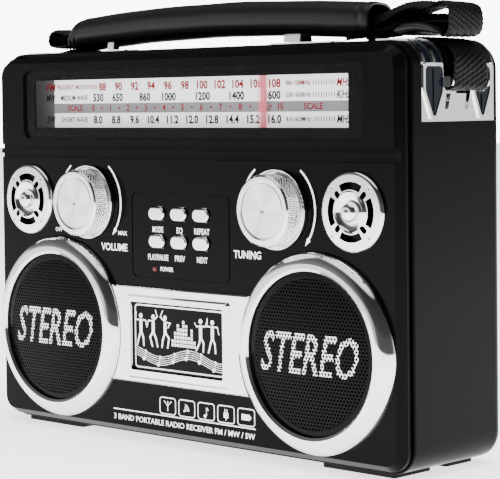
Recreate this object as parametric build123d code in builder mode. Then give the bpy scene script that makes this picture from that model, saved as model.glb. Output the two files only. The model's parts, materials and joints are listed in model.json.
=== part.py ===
"""Portable three-band shortwave receiver, boombox shape, as an assembly of separate pieces.

Frame: X along the width, -Y is the front, Z up, origin under the middle of the set on the table.
Most sketches are drawn on planes parallel to the face: local x is X and local y is the height
above the underside of the casing. "Depth" is the distance behind the flat of the face.
"""
from build123d import *
import math
import os

os.makedirs("parts", exist_ok=True)

# ---- driving dimensions, millimetres ----
CASE_W = 258.4
CASE_H = 177.4
CASE_DEPTH = 66.0
KNOB_PROUD = 10.3
FOOT_H = 2.0
FACE_Y = (KNOB_PROUD - CASE_DEPTH) / 2
WALL = 2.5
CORNER_R = 12.0
SEAM_DEPTH = 12.0
RIM_DEPTH = 6.6
GAP = 0.3
SLIDE_FIT = 0.05

BLOCK_W = 255.2
BLOCK_Z = (1.4, 175.4)
GROOVE_Z = (127.5, 133.5)
FACE_T = 2.5
BLOCK_CHAMFER = (2.8, 4.0)
RIM_T = 3.4
GROOVE_DEPTH = 2.2
RIDGE_DEPTH = 0.9
RIDGE_H = 2.4
BACK_EDGE_R = 5.5
CAVITY_W = 247.0
CAVITY_Z = (4.4, 172.4)

WOOFER = (81.8, 47.4)
WOOFER_HOLE_R = 36.0
BEZEL_R = 43.0
BEZEL_PROUD = 6.2
DRIVER_BACK = 27.2
GRILLE_R = 34.7
GRILLE_T = 0.8
GRILLE_RISE = 1.8
GRILLE_DEPTH = -5.4

KNOB = (60.4, 107.0)
KNOB_R = 15.2
SHAFT_R = 3.0
SHAFT_HOLE_R = 4.0
TWEETER = (103.4, 107.3)
TWEETER_R = 16.9
TWEETER_WELL = 1.4
SLOT_MID_R = 10.9

LENS_W = 216.6
LENS_Z = (136.9, 168.8)
LENS_T = 1.5
WINDOW_SIZE = (203.0, 24.6)
SCALE_DEPTH = 9.0
SCALE_T = 0.8
SCALE_HALF = 112.0
SCALE_Z = (134.6, 169.4)
BRACKET_DEPTH = 15.0

KEY_X = (-14.2, 0.0, 14.2)
KEY_Z = (103.0, 90.4)
KEY_SIZE = (10.2, 6.1)
KEY_FLANGE_T = 0.9
KEY_FIT = 0.6
KEY_FLANGE = 2.4
KEY_BOARD_DEPTH = 7.0
KEY_BOARD_SIZE = (58.0, 36.0)
# outline groove round the keys
PANEL_Z = 92.9
PANEL_SIZE = (63.0, 38.6)
PANEL_LINE = (0.6, 0.5)
LAMP = (-16.5, 77.7)
LAMP_R = 1.25

DISPLAY_Z = (25.4, 69.2)
DISPLAY_W = 90.0
DISPLAY_PROUD = 2.0
DISPLAY_BLOCK = (65.0, 38.0)
DISPLAY_OPENING = (59.2, 31.2)
DISPLAY_PANE = ((-29.4, 29.4), (31.5, 62.3))

CAP_Z = 144.0
CAP_Y = (12.4, 60.4)
CAP_T = 1.6
CAP_TOP_X = 105.0
CHANNEL_Y = (28.6, 51.8)
CHANNEL_DEPTH = 3.8
POCKET_Y = (24.4, 56.4)
POCKET_T = 1.6
BAR = (130.4, 160.2)
BAR_R = 1.4
STRAP_Y = (26.2, 48.6)
LOOP_Y = (29.0, 51.4)
STRAP_T = 1.5
GRIP_X = (-102.0, 86.5)
GRIP_SIZE = (29.0, 16.0)
# ends and crown of the grip's axis
GRIP_RISE = (187.3, 190.6, 186.8)
BUCKLE = (116.6, 181.4)
BUCKLE_SIZE = (22.0, 29.0, 2.6)
BUCKLE_TILT = math.radians(5.0)

BAY_Z = (17.2, 53.2)
BAY_HALF = 94.5
BAY_DEPTH = 29.0
BAY_WALL = 1.1
DOOR_EDGE_R = 0.54
DOOR_SEAT = 1.2
DOOR_LIP = 2.5
CELL_R = 17.0
CELL_L = 61.0

RIB_Y = (12.6, 19.4, 26.2, 53.2, 58.2)
RIB_W = 1.8
RIB_LOW_Z = 168.2
# black inserts beside the channel: middle depth and half width
INSERTS = ((19.7, 5.6), (51.8, 5.2))
INSERT_Z = (146.4, 156.6, 166.6)
INSERT_RIM = 1.3
INSERT_PROUD = 0.8
CAP_LUG_T = 0.9
CAP_FOOT_Z = 149.0
CAP_CREST_Z = 168.0
POINTER_X = 45.3
RAIL = (12.5, 167.0)
RAIL_R = 1.0
CORD_DEPTH = 21.5
POST_X = 104.0
POST_Z = 152.0
POST_R = 4.0
POST_PIN_R = 1.5
DRUM = (-14.0, 105.0)
DRUM_R = 46.0
BOARD_DEPTH = 41.0
BOARD_SIZE = (176.0, 96.0)
BOARD_MID_Z = 110.0
# middle, width, height and thickness of the larger components
COMPONENTS = ((-60, 140, 14, 14, 9), (50, 138, 20, 10, 7), (40, 90, 30, 12, 10),
              (-66, 90, 12, 12, 12), (70, 110, 8, 22, 6), (-66, 112, 10, 8, 6))
ROD = (47.0, 164.5)
ROD_R = 4.0
ROD_L = 120.0
COIL_R = 5.6
COIL_L = 26.0
JACK_R = 1.8
JACK_DEPTH = 14.0
DC_R = 2.8
SOCKET_Y = 36.0
SOCKET_MID_Z = 82.0
SOCKET_SIZE = (16.0, 58.0)

SWITCH_Y = 18.0
# length added to the stroke, and width, of the slot under each knob
SWITCH_SLOT = (5.6, 3.4)
PLATE_T = 0.8
PLATE_W = 9.0
KNOB_LIFT = 1.1
KNOB_H = 3.4
STEM_DROP = 4.5
# width, depth and number of teeth of the two slide knobs
SLIDE_KNOBS = (((5.0, 4.0), 3), ((10.4, 8.0), 8))
# slide switches: knob position and stroke, ends of the plate
SWITCHES = ((-62.6, 8.0, (-66.9, -49.0)), (56.4, 16.0, (43.3, 80.3)))

FEET_Y = ((8.0, 32.0), (42.0, 60.0))
FOOT_X = 97.0
FOOT_W = 40.0
SCREW_HEAD_R = 2.5
SCREW_R = 1.25
SCREW_SUNK = 1.0
SCREWS = ((-112.0, 9.5), (0.0, 9.5), (112.0, 9.5), (-112.0, 150.0), (0.0, 158.0), (112.0, 150.0))

AERIAL = (61.8, 172.0)
AERIAL_PIVOT_X = 98.0
# outer radius, bore radius, start and end of each section
AERIAL_TUBES = ((3.2, 2.75, 94.5, -92.0), (2.7, 2.25, 92.0, -93.5), (2.2, 0.0, 91.0, -95.0))
RABBET_X = (-140.0, 104.8)
RABBET_DEPTH = 56.9
RABBET_Z = 167.6


# ---- helpers ----
def front(depth, x=0.0, z=0.0):
    """Plane parallel to the face, at a depth behind it, looking out of the face."""
    return Plane(origin=(x, FACE_Y + depth, FOOT_H + z), x_dir=(1, 0, 0), z_dir=(0, -1, 0))


def level(z):
    """Horizontal plane at a height above the casing's underside; local y is depth."""
    return Plane(origin=(0, FACE_Y, FOOT_H + z), x_dir=(1, 0, 0), z_dir=(0, 0, 1))


def across(x):
    """Plane square to X, looking along +X; local x is depth and local y is height."""
    return Plane(origin=(x, FACE_Y, FOOT_H), x_dir=(0, 1, 0), z_dir=(1, 0, 0))


def mid(pair):
    return (pair[0] + pair[1]) / 2


def span(pair):
    return pair[1] - pair[0]


def save(shape, name):
    shape.label = name
    export_step(shape, "parts/" + name + ".step")


def turned(points, x, z, arcs=()):
    """Body of revolution about a front-to-back axis; points are (radius, depth) pairs.

    Each entry of arcs is the index of a point and the middle point of the arc that leaves it.
    """
    plane = Plane(origin=(x, FACE_Y, FOOT_H + z), x_dir=(1, 0, 0), z_dir=(0, 0, 1))
    bends = dict(arcs)
    with BuildPart() as body:
        with BuildSketch(plane):
            with BuildLine():
                for i, start in enumerate(points):
                    end = points[(i + 1) % len(points)]
                    if i in bends:
                        ThreePointArc(start, bends[i], end)
                    else:
                        Line(start, end)
            make_face()
        revolve(axis=Axis((x, FACE_Y, FOOT_H + z), (0, 1, 0)))
    return body.part


def board(x_pair, z_pair, depth, thick, radius=0.0):
    """Flat plate parallel to the face, its front side at a depth."""
    with BuildPart() as plate:
        with BuildSketch(front(depth)):
            with Locations((mid(x_pair), mid(z_pair))):
                if radius:
                    RectangleRounded(span(x_pair), span(z_pair), radius)
                else:
                    Rectangle(span(x_pair), span(z_pair))
        extrude(amount=-thick)
    return plate.part


def sides():
    return (("left", -1), ("right", 1))


# ---- casing ----
def front_housing():
    case_mid = CASE_H / 2
    with BuildPart() as shell:
        with BuildSketch(front(0)):
            with Locations((0, mid(BLOCK_Z))):
                RectangleRounded(BLOCK_W, span(BLOCK_Z), CORNER_R - 3)
        extrude(amount=-SEAM_DEPTH)
        chamfer(shell.faces().sort_by(Axis.Y)[0].edges(), *BLOCK_CHAMFER,
                reference=shell.faces().sort_by(Axis.Y)[0])
        with BuildSketch(front(RIM_DEPTH + RIM_T)):
            with Locations((0, case_mid)):
                RectangleRounded(CASE_W, CASE_H, CORNER_R)
        extrude(amount=RIM_DEPTH + RIM_T - SEAM_DEPTH)
        with BuildSketch(front(RIM_DEPTH)):
            with Locations((0, case_mid)):
                RectangleRounded(CASE_W, CASE_H, CORNER_R)
                RectangleRounded(CASE_W - 2.0, CASE_H - 2.0, CORNER_R - 1, mode=Mode.SUBTRACT)
        extrude(amount=-RIM_T)
        # groove between the dial block and the speaker block, with a low ridge in its middle
        with BuildSketch(front(0)):
            with Locations((0, mid(GROOVE_Z))):
                Rectangle(BLOCK_W + 1, span(GROOVE_Z))
        extrude(amount=-GROOVE_DEPTH, mode=Mode.SUBTRACT)
        with BuildSketch(front(RIDGE_DEPTH)):
            with Locations((0, mid(GROOVE_Z))):
                Rectangle(BLOCK_W - 2, RIDGE_H)
        extrude(amount=-2.0)
        # hollow behind the face
        with BuildSketch(front(FACE_T)):
            with Locations((0, mid(CAVITY_Z))):
                RectangleRounded(CAVITY_W, span(CAVITY_Z), 6)
        extrude(amount=-(SEAM_DEPTH - FACE_T), mode=Mode.SUBTRACT)
        with BuildSketch(front(FACE_T)):
            with Locations((0, mid(GROOVE_Z))):
                Rectangle(CAVITY_W, span(GROOVE_Z) + 3)
        extrude(amount=-1.6)
        # dial window: a ledge for the lens and the opening behind it
        lens_mid = mid(LENS_Z)
        with BuildSketch(front(0)):
            with Locations((0, lens_mid)):
                RectangleRounded(LENS_W + 0.4, span(LENS_Z) + 0.4, 4.2)
        extrude(amount=-LENS_T, mode=Mode.SUBTRACT)
        with BuildSketch(front(0)):
            with Locations((0, lens_mid)):
                RectangleRounded(*WINDOW_SIZE, 2)
        extrude(amount=-FACE_T, mode=Mode.SUBTRACT)
        # speaker holes, shaft holes, shallow wells under the tweeter trims
        with BuildSketch(front(0)):
            with Locations((-WOOFER[0], WOOFER[1]), (WOOFER[0], WOOFER[1])):
                Circle(WOOFER_HOLE_R)
            with Locations((-KNOB[0], KNOB[1]), (KNOB[0], KNOB[1])):
                Circle(SHAFT_HOLE_R)
        extrude(amount=-FACE_T, mode=Mode.SUBTRACT)
        with BuildSketch(front(0)):
            with Locations((-TWEETER[0], TWEETER[1]), (TWEETER[0], TWEETER[1])):
                Circle(TWEETER_R - 2)
        extrude(amount=-TWEETER_WELL, mode=Mode.SUBTRACT)
        # key slots, lamp hole and the fine outline groove round the keys
        with BuildSketch(front(0)):
            with Locations(*[(x, z) for x in KEY_X for z in KEY_Z]):
                SlotOverall(KEY_SIZE[0] + KEY_FIT, KEY_SIZE[1] + KEY_FIT)
            with Locations(LAMP):
                Circle(LAMP_R + 0.1)
        extrude(amount=-FACE_T, mode=Mode.SUBTRACT)
        with BuildSketch(front(0)):
            with Locations((0, PANEL_Z)):
                RectangleRounded(*PANEL_SIZE, 3)
                RectangleRounded(PANEL_SIZE[0] - 2 * PANEL_LINE[0], PANEL_SIZE[1] - 2 * PANEL_LINE[0],
                                 3 - PANEL_LINE[0], mode=Mode.SUBTRACT)
        extrude(amount=-PANEL_LINE[1], mode=Mode.SUBTRACT)
        outer = shell.edges().filter_by(lambda e: abs(e.center().Y - FACE_Y - RIM_DEPTH) < 0.01)
        rim_edges = [e for e in outer if e.bounding_box().max.X > CASE_W / 2 - 0.5
                     or e.bounding_box().min.X < -CASE_W / 2 + 0.5
                     or e.bounding_box().max.Z > FOOT_H + CASE_H - 0.5
                     or e.bounding_box().min.Z < FOOT_H + 0.5]
        fillet(rim_edges, 0.7)
    return shell.part


def corner_band(sign, outer, inner):
    """Closed L-shaped section round a top corner, between two depths below its surface."""
    half = CASE_W / 2
    top = CASE_H
    centre = (sign * (half - CORNER_R), top - CORNER_R)
    tip = math.sqrt(0.5)
    loops = []
    for inset in (outer, inner):
        radius = CORNER_R - inset
        loops.append([(sign * (half - inset), CAP_Z), (sign * (half - inset), top - CORNER_R),
                      (centre[0] + sign * radius * tip, centre[1] + radius * tip),
                      (sign * (half - CORNER_R), top - inset), (sign * CAP_TOP_X, top - inset)])
    with BuildLine() as line:
        for loop in loops:
            Line(loop[0], loop[1])
            ThreePointArc(loop[1], loop[2], loop[3])
            Line(loop[3], loop[4])
        Line(loops[0][0], loops[1][0])
        Line(loops[0][4], loops[1][4])
    return line.line


def band_face(sign, outer, inner):
    return make_face(corner_band(sign, outer, inner).edges(), mode=Mode.PRIVATE)


def rear_housing():
    inner_r = CORNER_R - WALL
    case_mid = CASE_H / 2
    with BuildPart() as shell:
        with BuildSketch(front(SEAM_DEPTH)):
            with Locations((0, case_mid)):
                RectangleRounded(CASE_W, CASE_H, CORNER_R)
        extrude(amount=-(CASE_DEPTH - SEAM_DEPTH))
        fillet(shell.faces().sort_by(Axis.Y)[-1].edges(), BACK_EDGE_R)
        with BuildSketch(front(SEAM_DEPTH)):
            with Locations((0, case_mid)):
                RectangleRounded(CASE_W - 2 * WALL, CASE_H - 2 * WALL, inner_r)
        extrude(amount=-(CASE_DEPTH - SEAM_DEPTH - WALL), mode=Mode.SUBTRACT)
        # inner back corners are filled so that the rounded back keeps its wall
        with BuildSketch(front(CASE_DEPTH - WALL - 3)):
            with Locations((0, case_mid)):
                RectangleRounded(CASE_W - 2 * WALL, CASE_H - 2 * WALL, inner_r)
                RectangleRounded(CASE_W - 2 * WALL - 6, CASE_H - 2 * WALL - 6, inner_r - 3,
                                 mode=Mode.SUBTRACT)
        extrude(amount=-3)
        # rabbet along the top of the back for the folded aerial, open to the left, walled off inside
        with BuildSketch(front(RABBET_DEPTH - 2)):
            with Locations((0, case_mid)):
                RectangleRounded(CASE_W - WALL, CASE_H - WALL, CORNER_R - WALL / 2)
            with Locations((mid(RABBET_X), (RABBET_Z - 2 + CASE_H) / 2)):
                Rectangle(span(RABBET_X) + 4, CASE_H - RABBET_Z + 2, mode=Mode.INTERSECT)
        extrude(amount=-(CASE_DEPTH - WALL - RABBET_DEPTH + 2))
        with BuildSketch(front(RABBET_DEPTH)):
            with Locations((mid(RABBET_X), RABBET_Z + 10)):
                Rectangle(span(RABBET_X), 20)
        extrude(amount=-20, mode=Mode.SUBTRACT)
        with BuildSketch(level(RABBET_Z)):
            with Locations((AERIAL_PIVOT_X, AERIAL[0])):
                Circle(1.5 + SLIDE_FIT)
        extrude(amount=-2, mode=Mode.SUBTRACT)
        # battery bay, open to the back
        with BuildSketch(front(BAY_DEPTH - BAY_WALL)):
            with Locations((0, mid(BAY_Z))):
                Rectangle(2 * (BAY_HALF + BAY_WALL), span(BAY_Z) + 2 * BAY_WALL)
        extrude(amount=-(CASE_DEPTH - WALL - BAY_DEPTH + BAY_WALL))
        with BuildSketch(front(BAY_DEPTH)):
            with Locations((0, mid(BAY_Z))):
                Rectangle(2 * BAY_HALF, span(BAY_Z))
        extrude(amount=-(CASE_DEPTH - BAY_DEPTH), mode=Mode.SUBTRACT)
        # shallow seat for the door's border
        with BuildSketch(front(CASE_DEPTH - DOOR_SEAT)):
            with Locations((0, mid(BAY_Z))):
                Rectangle(2 * (BAY_HALF + DOOR_LIP), span(BAY_Z) + 2 * DOOR_LIP)
        extrude(amount=-DOOR_SEAT, mode=Mode.SUBTRACT)
        # corner seats for the chrome caps
        for _, sign in sides():
            with BuildSketch(front(CAP_Y[0])):
                add(band_face(sign, 0, CAP_T))
            extrude(amount=-span(CAP_Y), mode=Mode.SUBTRACT)
            with BuildSketch(front(POCKET_Y[0])):
                add(band_face(sign, 0, CHANNEL_DEPTH + POCKET_T))
            extrude(amount=-span(POCKET_Y), mode=Mode.SUBTRACT)
        # switch slots in the top
        with BuildSketch(level(CASE_H)):
            for x, stroke, _ in SWITCHES:
                with Locations((x + stroke / 2, SWITCH_Y)):
                    RectangleRounded(stroke + SWITCH_SLOT[0], SWITCH_SLOT[1], 1)
        extrude(amount=-WALL, mode=Mode.SUBTRACT)
        # screw holes with sunk seats in the back
        with BuildSketch(front(CASE_DEPTH)):
            with Locations(*SCREWS):
                Circle(SCREW_HEAD_R + 0.2)
        extrude(amount=SCREW_SUNK, mode=Mode.SUBTRACT)
        with BuildSketch(front(CASE_DEPTH)):
            with Locations(*SCREWS):
                Circle(SCREW_R + 0.1)
        extrude(amount=WALL, mode=Mode.SUBTRACT)
        # socket panel opening on the left side
        with BuildSketch(across(-CASE_W / 2)):
            with Locations((SOCKET_Y, SOCKET_MID_Z)):
                RectangleRounded(*SOCKET_SIZE, 2)
        extrude(amount=WALL, mode=Mode.SUBTRACT)
        # sound slots in the back
        with BuildSketch(front(CASE_DEPTH)):
            with GridLocations(9.0, 7.0, 15, 3):
                with Locations((0, 105.0)):
                    SlotOverall(7.0, 1.6)
        extrude(amount=WALL, mode=Mode.SUBTRACT)
    return shell.part


def corner_cap(sign):
    """Chrome cap over a top corner, with a channel for the webbing and two raised columns."""
    half = sign * CASE_W / 2
    with BuildPart() as cap:
        with BuildSketch(front(CAP_Y[0])):
            add(band_face(sign, 0, CAP_T))
        extrude(amount=-span(CAP_Y))
        with BuildSketch(front(POCKET_Y[0])):
            add(band_face(sign, 0, CHANNEL_DEPTH + POCKET_T))
        extrude(amount=-span(POCKET_Y))
        # raised ribs over the corner
        for rib_y in RIB_Y:
            with BuildSketch(front(rib_y)):
                add(band_face(sign, -0.8, 0.4))
                with Locations((half, (CAP_Z + RIB_LOW_Z) / 2)):
                    Rectangle(6, RIB_LOW_Z - CAP_Z, mode=Mode.SUBTRACT)
            extrude(amount=-RIB_W)
        # raised rims round the black inserts
        with BuildSketch(across(half)):
            for place in INSERTS:
                add(insert_outline(place, INSERT_RIM))
        extrude(amount=sign * INSERT_PROUD)
        # webbing channel over the corner, flared at its foot
        with BuildSketch(front(CHANNEL_Y[0])):
            add(band_face(sign, -1, CHANNEL_DEPTH))
            with Locations((half, CAP_Z)):
                Rectangle(12, 28, mode=Mode.SUBTRACT)
        extrude(amount=-span(CHANNEL_Y), mode=Mode.SUBTRACT)
        with BuildSketch(across(half)):
            Polygon((27.4, CAP_FOOT_Z), (42.4, CAP_FOOT_Z), (44.6, INSERT_Z[1]),
                    (CHANNEL_Y[1], INSERT_Z[1]), (CHANNEL_Y[1], CAP_CREST_Z),
                    (CHANNEL_Y[0], CAP_CREST_Z), (CHANNEL_Y[0], INSERT_Z[1]), align=None)
        extrude(amount=-sign * CHANNEL_DEPTH, mode=Mode.SUBTRACT)
        with BuildSketch(across(half)):
            with Locations((mid(CHANNEL_Y), (INSERT_Z[1] + CAP_CREST_Z) / 2)):
                Rectangle(span(CHANNEL_Y), CAP_CREST_Z - INSERT_Z[1])
        extrude(amount=sign, mode=Mode.SUBTRACT)
        # block at the foot of the channel
        with BuildSketch(across(half)):
            Polygon((29.6, CAP_FOOT_Z), (40.4, CAP_FOOT_Z), (41.8, 155.4), (31.4, 155.4),
                    align=None)
        extrude(amount=-sign * CHANNEL_DEPTH)
        # seats for the black inserts
        with BuildSketch(across(half)):
            for place in INSERTS:
                add(insert_outline(place, 0.05))
        extrude(amount=-sign * INSERT_PROUD, mode=Mode.SUBTRACT)
        with BuildSketch(across(half)):
            for place in INSERTS:
                add(insert_outline(place, 0.05))
        extrude(amount=sign * 1.0, mode=Mode.SUBTRACT)
        # lugs for the webbing bar
        for y in (CHANNEL_Y[0] - CAP_LUG_T, CHANNEL_Y[1]):
            with BuildSketch(front(y)):
                with Locations((sign * (BAR[0] - 0.2), BAR[1])):
                    SlotOverall(6.2, 4.4)
                with Locations((sign * (CASE_W / 2 - 3), BAR[1])):
                    Rectangle(4, 8, mode=Mode.SUBTRACT)
            extrude(amount=-CAP_LUG_T)
        # way out for the aerial at the open end of its rabbet
        with BuildSketch(front(RABBET_DEPTH)):
            with Locations((mid(RABBET_X), RABBET_Z + 10)):
                Rectangle(span(RABBET_X), 20)
        extrude(amount=-20, mode=Mode.SUBTRACT)
    return cap.part


def insert_outline(place, margin):
    """Long black inlay: rounded shoulders above, tapering to a narrow foot; clear of the channel."""
    y = place[0]
    half = place[1] + margin
    low, waist, high = INSERT_Z
    foot = 0.8 + margin
    with BuildSketch() as inlay:
        Polygon((y - half, high + margin), (y - half, waist), (y - foot, low - margin),
                (y + foot, low - margin), (y + half, waist), (y + half, high + margin),
                align=None)
        fillet(inlay.vertices().group_by(Axis.Y)[-1], 2.2)
        fillet(inlay.vertices().filter_by(lambda v: abs(v.Y - waist) < 0.01), 6.0)
        with Locations((mid(CHANNEL_Y), waist - 0.3 + margin / 2 + 10)):
            Rectangle(span(CHANNEL_Y) + 2.6 - 2 * margin / INSERT_RIM, 20, mode=Mode.SUBTRACT)
    return inlay.sketch


def cap_inserts():
    with BuildPart() as inserts:
        for _, sign in sides():
            half = sign * CASE_W / 2
            with BuildSketch(across(half - sign * INSERT_PROUD)):
                for place in INSERTS:
                    add(insert_outline(place, 0))
            extrude(amount=sign * 1.2)
            with BuildSketch(across(half + sign * 0.4)):
                with Locations((INSERTS[0][0], 157.0)):
                    Rectangle(0.7, 17.0)
                with Locations((INSERTS[1][0], 151.5)):
                    Rectangle(0.7, 7.0)
            extrude(amount=sign * 0.4)
    return inserts.part


def strap_bars():
    with BuildPart() as bars:
        with BuildSketch(front(CHANNEL_Y[0])):
            with Locations((-BAR[0], BAR[1]), (BAR[0], BAR[1])):
                Circle(BAR_R)
        extrude(amount=-span(CHANNEL_Y))
    return bars.part


# ---- carrying strap ----
def ribbon(points, radii, widths=STRAP_Y):
    """Webbing laid edge-on along a path in the front view, as wide as the strap."""
    with BuildPart() as band:
        with BuildSketch(front(widths[0])):
            with BuildLine():
                FilletPolyline(*points, radius=radii)
            trace(line_width=STRAP_T)
        extrude(amount=-span(widths))
    return band.part


def bar_loop(sign, tail):
    """The two runs of webbing over the corner, joined by the fold round the bar."""
    reach = BAR_R + 0.15 + STRAP_T / 2
    low = BAR[1] - reach
    out_x = BAR[0] + reach
    in_x = BAR[0] - reach
    path = [(109.0, 176.6), (121.5, 176.2), (in_x, 169.5), (in_x, low), (out_x, low),
            (out_x + 0.2, 170.0), (122.5, 177.9), tail]
    return ribbon([(sign * x, z) for x, z in path], [8.0, 6.0, reach, reach, 8.0, 8.0], LOOP_Y)


def handle_strap_right():
    """Loop round the bar, and the run from the grip with its fold over the slider."""
    fold = ribbon([(GRIP_X[1] + 0.6, 186.8), (100.0, 192.0), (114.0, 193.0), (130.4, 191.4),
                   (131.8, 179.7), (128.2, 179.7)], [9.0, 22.0, 5.5, 2.4])
    return Compound(children=[bar_loop(1, (112.0, 178.2)), fold])


def handle_strap_left():
    """Loop round the bar, and the short fold out of the grip's end."""
    fold = ribbon([(GRIP_X[0] - 0.6, 187.3), (-112.0, 190.0), (-121.0, 188.8), (-121.4, 180.6),
                   (-116.5, 180.6)], [8.0, 4.5, 3.0])
    return Compound(children=[bar_loop(-1, (108.6, 178.4)), fold])


def handle_grip():
    """Padded leatherette tube, gently arched."""
    centre_y = mid(STRAP_Y)
    with BuildPart() as grip:
        with BuildLine(front(centre_y)):
            path = ThreePointArc((GRIP_X[0], GRIP_RISE[0]), (mid(GRIP_X), GRIP_RISE[1]),
                                 (GRIP_X[1], GRIP_RISE[2]))
        start = Plane(origin=path @ 0, x_dir=(0, 1, 0), z_dir=path % 0)
        with BuildSketch(start):
            RectangleRounded(GRIP_SIZE[0], GRIP_SIZE[1], 6.0)
        sweep(path=path)
    return grip.part


def strap_buckle():
    """Flat slider with two slots."""
    length, width, thick = BUCKLE_SIZE
    plane = Plane(origin=(BUCKLE[0], FACE_Y + mid(STRAP_Y) - width / 2, FOOT_H + BUCKLE[1]),
                  x_dir=(math.cos(BUCKLE_TILT), 0, -math.sin(BUCKLE_TILT)), z_dir=(0, -1, 0))
    with BuildPart() as buckle:
        with BuildSketch(plane):
            RectangleRounded(length, thick, 1.2)
        extrude(amount=-width)
        top = Plane(origin=plane.from_local_coords((0, thick / 2, -width / 2)),
                    x_dir=plane.x_dir, z_dir=plane.y_dir)
        with BuildSketch(top):
            with Locations((-5.5, 0), (5.5, 0)):
                Rectangle(4.0, width - 4)
        extrude(amount=-thick, mode=Mode.SUBTRACT)
    return buckle.part


# ---- dial ----
def dial_pointer():
    """Translucent bar in front of the scale, hung on the rail and clipped to the cord."""
    x = POINTER_X
    with BuildPart() as pointer:
        with BuildSketch(across(x - 1.2)):
            with Locations((7.6, 155.4)):
                Rectangle(0.8, 31.6)
            with Locations((14.8, 170.5)):
                Rectangle(15.2, 1.4)
            with Locations((RAIL[0], 168.0)):
                Rectangle(2.8, 5.6)
            with Locations((21.6, 164.4)):
                Rectangle(1.6, 13.2)
        extrude(amount=2.4)
        with BuildSketch(across(x - 2)):
            with Locations(RAIL):
                Circle(RAIL_R + SLIDE_FIT)
        extrude(amount=4, mode=Mode.SUBTRACT)
    return pointer.part


def dial_bracket():
    """Metal strip behind the scale with the rail and the pins of the cord posts."""
    with BuildPart() as bracket:
        with BuildSketch(front(BRACKET_DEPTH)):
            with Locations((0, POST_Z)):
                Rectangle(228.0, 8.0)
            with Locations((-SCALE_HALF, 160.0), (SCALE_HALF, 160.0)):
                Rectangle(4.0, 20.0)
        extrude(amount=-1.0)
        with BuildSketch(front(BRACKET_DEPTH)):
            with Locations((-SCALE_HALF, RAIL[1]), (SCALE_HALF, RAIL[1])):
                Rectangle(4.0, 5.0)
        extrude(amount=4.5)
        with BuildSketch(across(-110.5)):
            with Locations(RAIL):
                Circle(RAIL_R)
        extrude(amount=221.0)
        with BuildSketch(front(BRACKET_DEPTH + 1)):
            with Locations((-POST_X, POST_Z), (POST_X, POST_Z)):
                Circle(POST_PIN_R)
        extrude(amount=-7.6)
        with BuildSketch(front(SCALE_DEPTH + SCALE_T)):
            with Locations((-110.0, POST_Z), (110.0, POST_Z)):
                Circle(2.0)
        extrude(amount=-(BRACKET_DEPTH - SCALE_DEPTH - SCALE_T))
    return bracket.part


def cord_post(sign):
    """Fixed grooved post, over which the dial cord slides."""
    d = CORD_DEPTH
    bore = POST_PIN_R + SLIDE_FIT
    lip = POST_R + 1.2
    return turned([(bore, d - 1.6), (lip, d - 1.6), (lip, d - 1.1), (POST_R, d - 0.5),
                   (POST_R, d + 0.5), (lip, d + 1.1), (lip, d + 1.6), (bore, d + 1.6)],
                  sign * POST_X, POST_Z)


def dial_cord():
    """Endless cord round the tuning shaft, the drum and the two posts."""
    wheels = ((-POST_X, POST_Z, POST_R), (POST_X, POST_Z, POST_R),
              (KNOB[0], KNOB[1], SHAFT_R), (DRUM[0], DRUM[1], DRUM_R))
    with BuildPart() as cord:
        with BuildSketch(front(CORD_DEPTH - 0.3)):
            for grow, how in ((0.7, Mode.ADD), (0.1, Mode.SUBTRACT)):
                with BuildSketch(mode=Mode.PRIVATE) as loop:
                    for x, z, radius in wheels:
                        with Locations((x, z)):
                            Circle(radius + grow)
                    make_hull()
                add(loop.sketch, mode=how)
        extrude(amount=-0.6)
    return cord.part


def tuning_capacitor():
    with BuildPart() as capacitor:
        with BuildSketch(front(27.0)):
            with Locations(DRUM):
                RectangleRounded(26.0, 26.0, 2.0)
        extrude(amount=-(BOARD_DEPTH - 27.0))
        with BuildSketch(front(27.0)):
            with Locations(DRUM):
                Circle(3.1)
        extrude(amount=-8.0, mode=Mode.SUBTRACT)
    return capacitor.part


def tuning_drum():
    """Drum with its hub and spindle."""
    d = CORD_DEPTH
    lip = DRUM_R + 1.2
    return turned([(0, d - 2.4), (6.0, d - 2.4), (6.0, d - 0.8), (DRUM_R - 3, d - 0.8),
                   (DRUM_R - 3, d - 1.6), (lip, d - 1.6), (lip, d - 1.1), (DRUM_R, d - 0.5),
                   (DRUM_R, d + 0.5), (lip, d + 1.1), (lip, d + 1.6), (DRUM_R - 3, d + 1.6),
                   (DRUM_R - 3, d + 0.8), (6.0, d + 0.8), (6.0, d + 3.0), (3.0, d + 3.0),
                   (3.0, 33.0), (0, 33.0)], DRUM[0], DRUM[1])


# ---- speakers and trims ----
def woofer_bezel(sign):
    return turned([(34.8, 2.4), (34.8, -5.3), (36.0, -BEZEL_PROUD), (37.8, -BEZEL_PROUD + 0.2),
                   (BEZEL_R, 0.0), (35.8, 0.0), (35.8, 2.4)],
                  sign * WOOFER[0], WOOFER[1], [(3, (41.4, -3.9))])


def woofer_grille(sign):
    """Shallow dome of constant thickness."""
    rise = GRILLE_RISE
    dome_r = (GRILLE_R ** 2 + rise ** 2) / (2 * rise)
    half = GRILLE_R / 2
    sag = dome_r - math.sqrt(dome_r ** 2 - half ** 2)
    face = GRILLE_DEPTH
    back = face + GRILLE_T
    return turned([(0, back), (0, face), (GRILLE_R, face + rise), (GRILLE_R, back + rise)],
                  sign * WOOFER[0], WOOFER[1], [(1, (half, face + sag)), (3, (half, back + sag))])


def woofer_driver(sign):
    """Basket, cone with dust cap, and magnet."""
    return turned([(0, 5.2), (8.0, 7.0), (11.0, 11.0), (30.0, 4.0), (31.5, 3.4), (33.0, 4.0),
                   (34.0, FACE_T + 0.2), (38.0, FACE_T + 0.2), (38.0, 4.4), (36.0, 4.4),
                   (22.0, 17.0), (20.0, 17.0), (20.0, DRIVER_BACK), (0, DRIVER_BACK)],
                  sign * WOOFER[0], WOOFER[1], [(0, (4.6, 5.6))])


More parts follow.
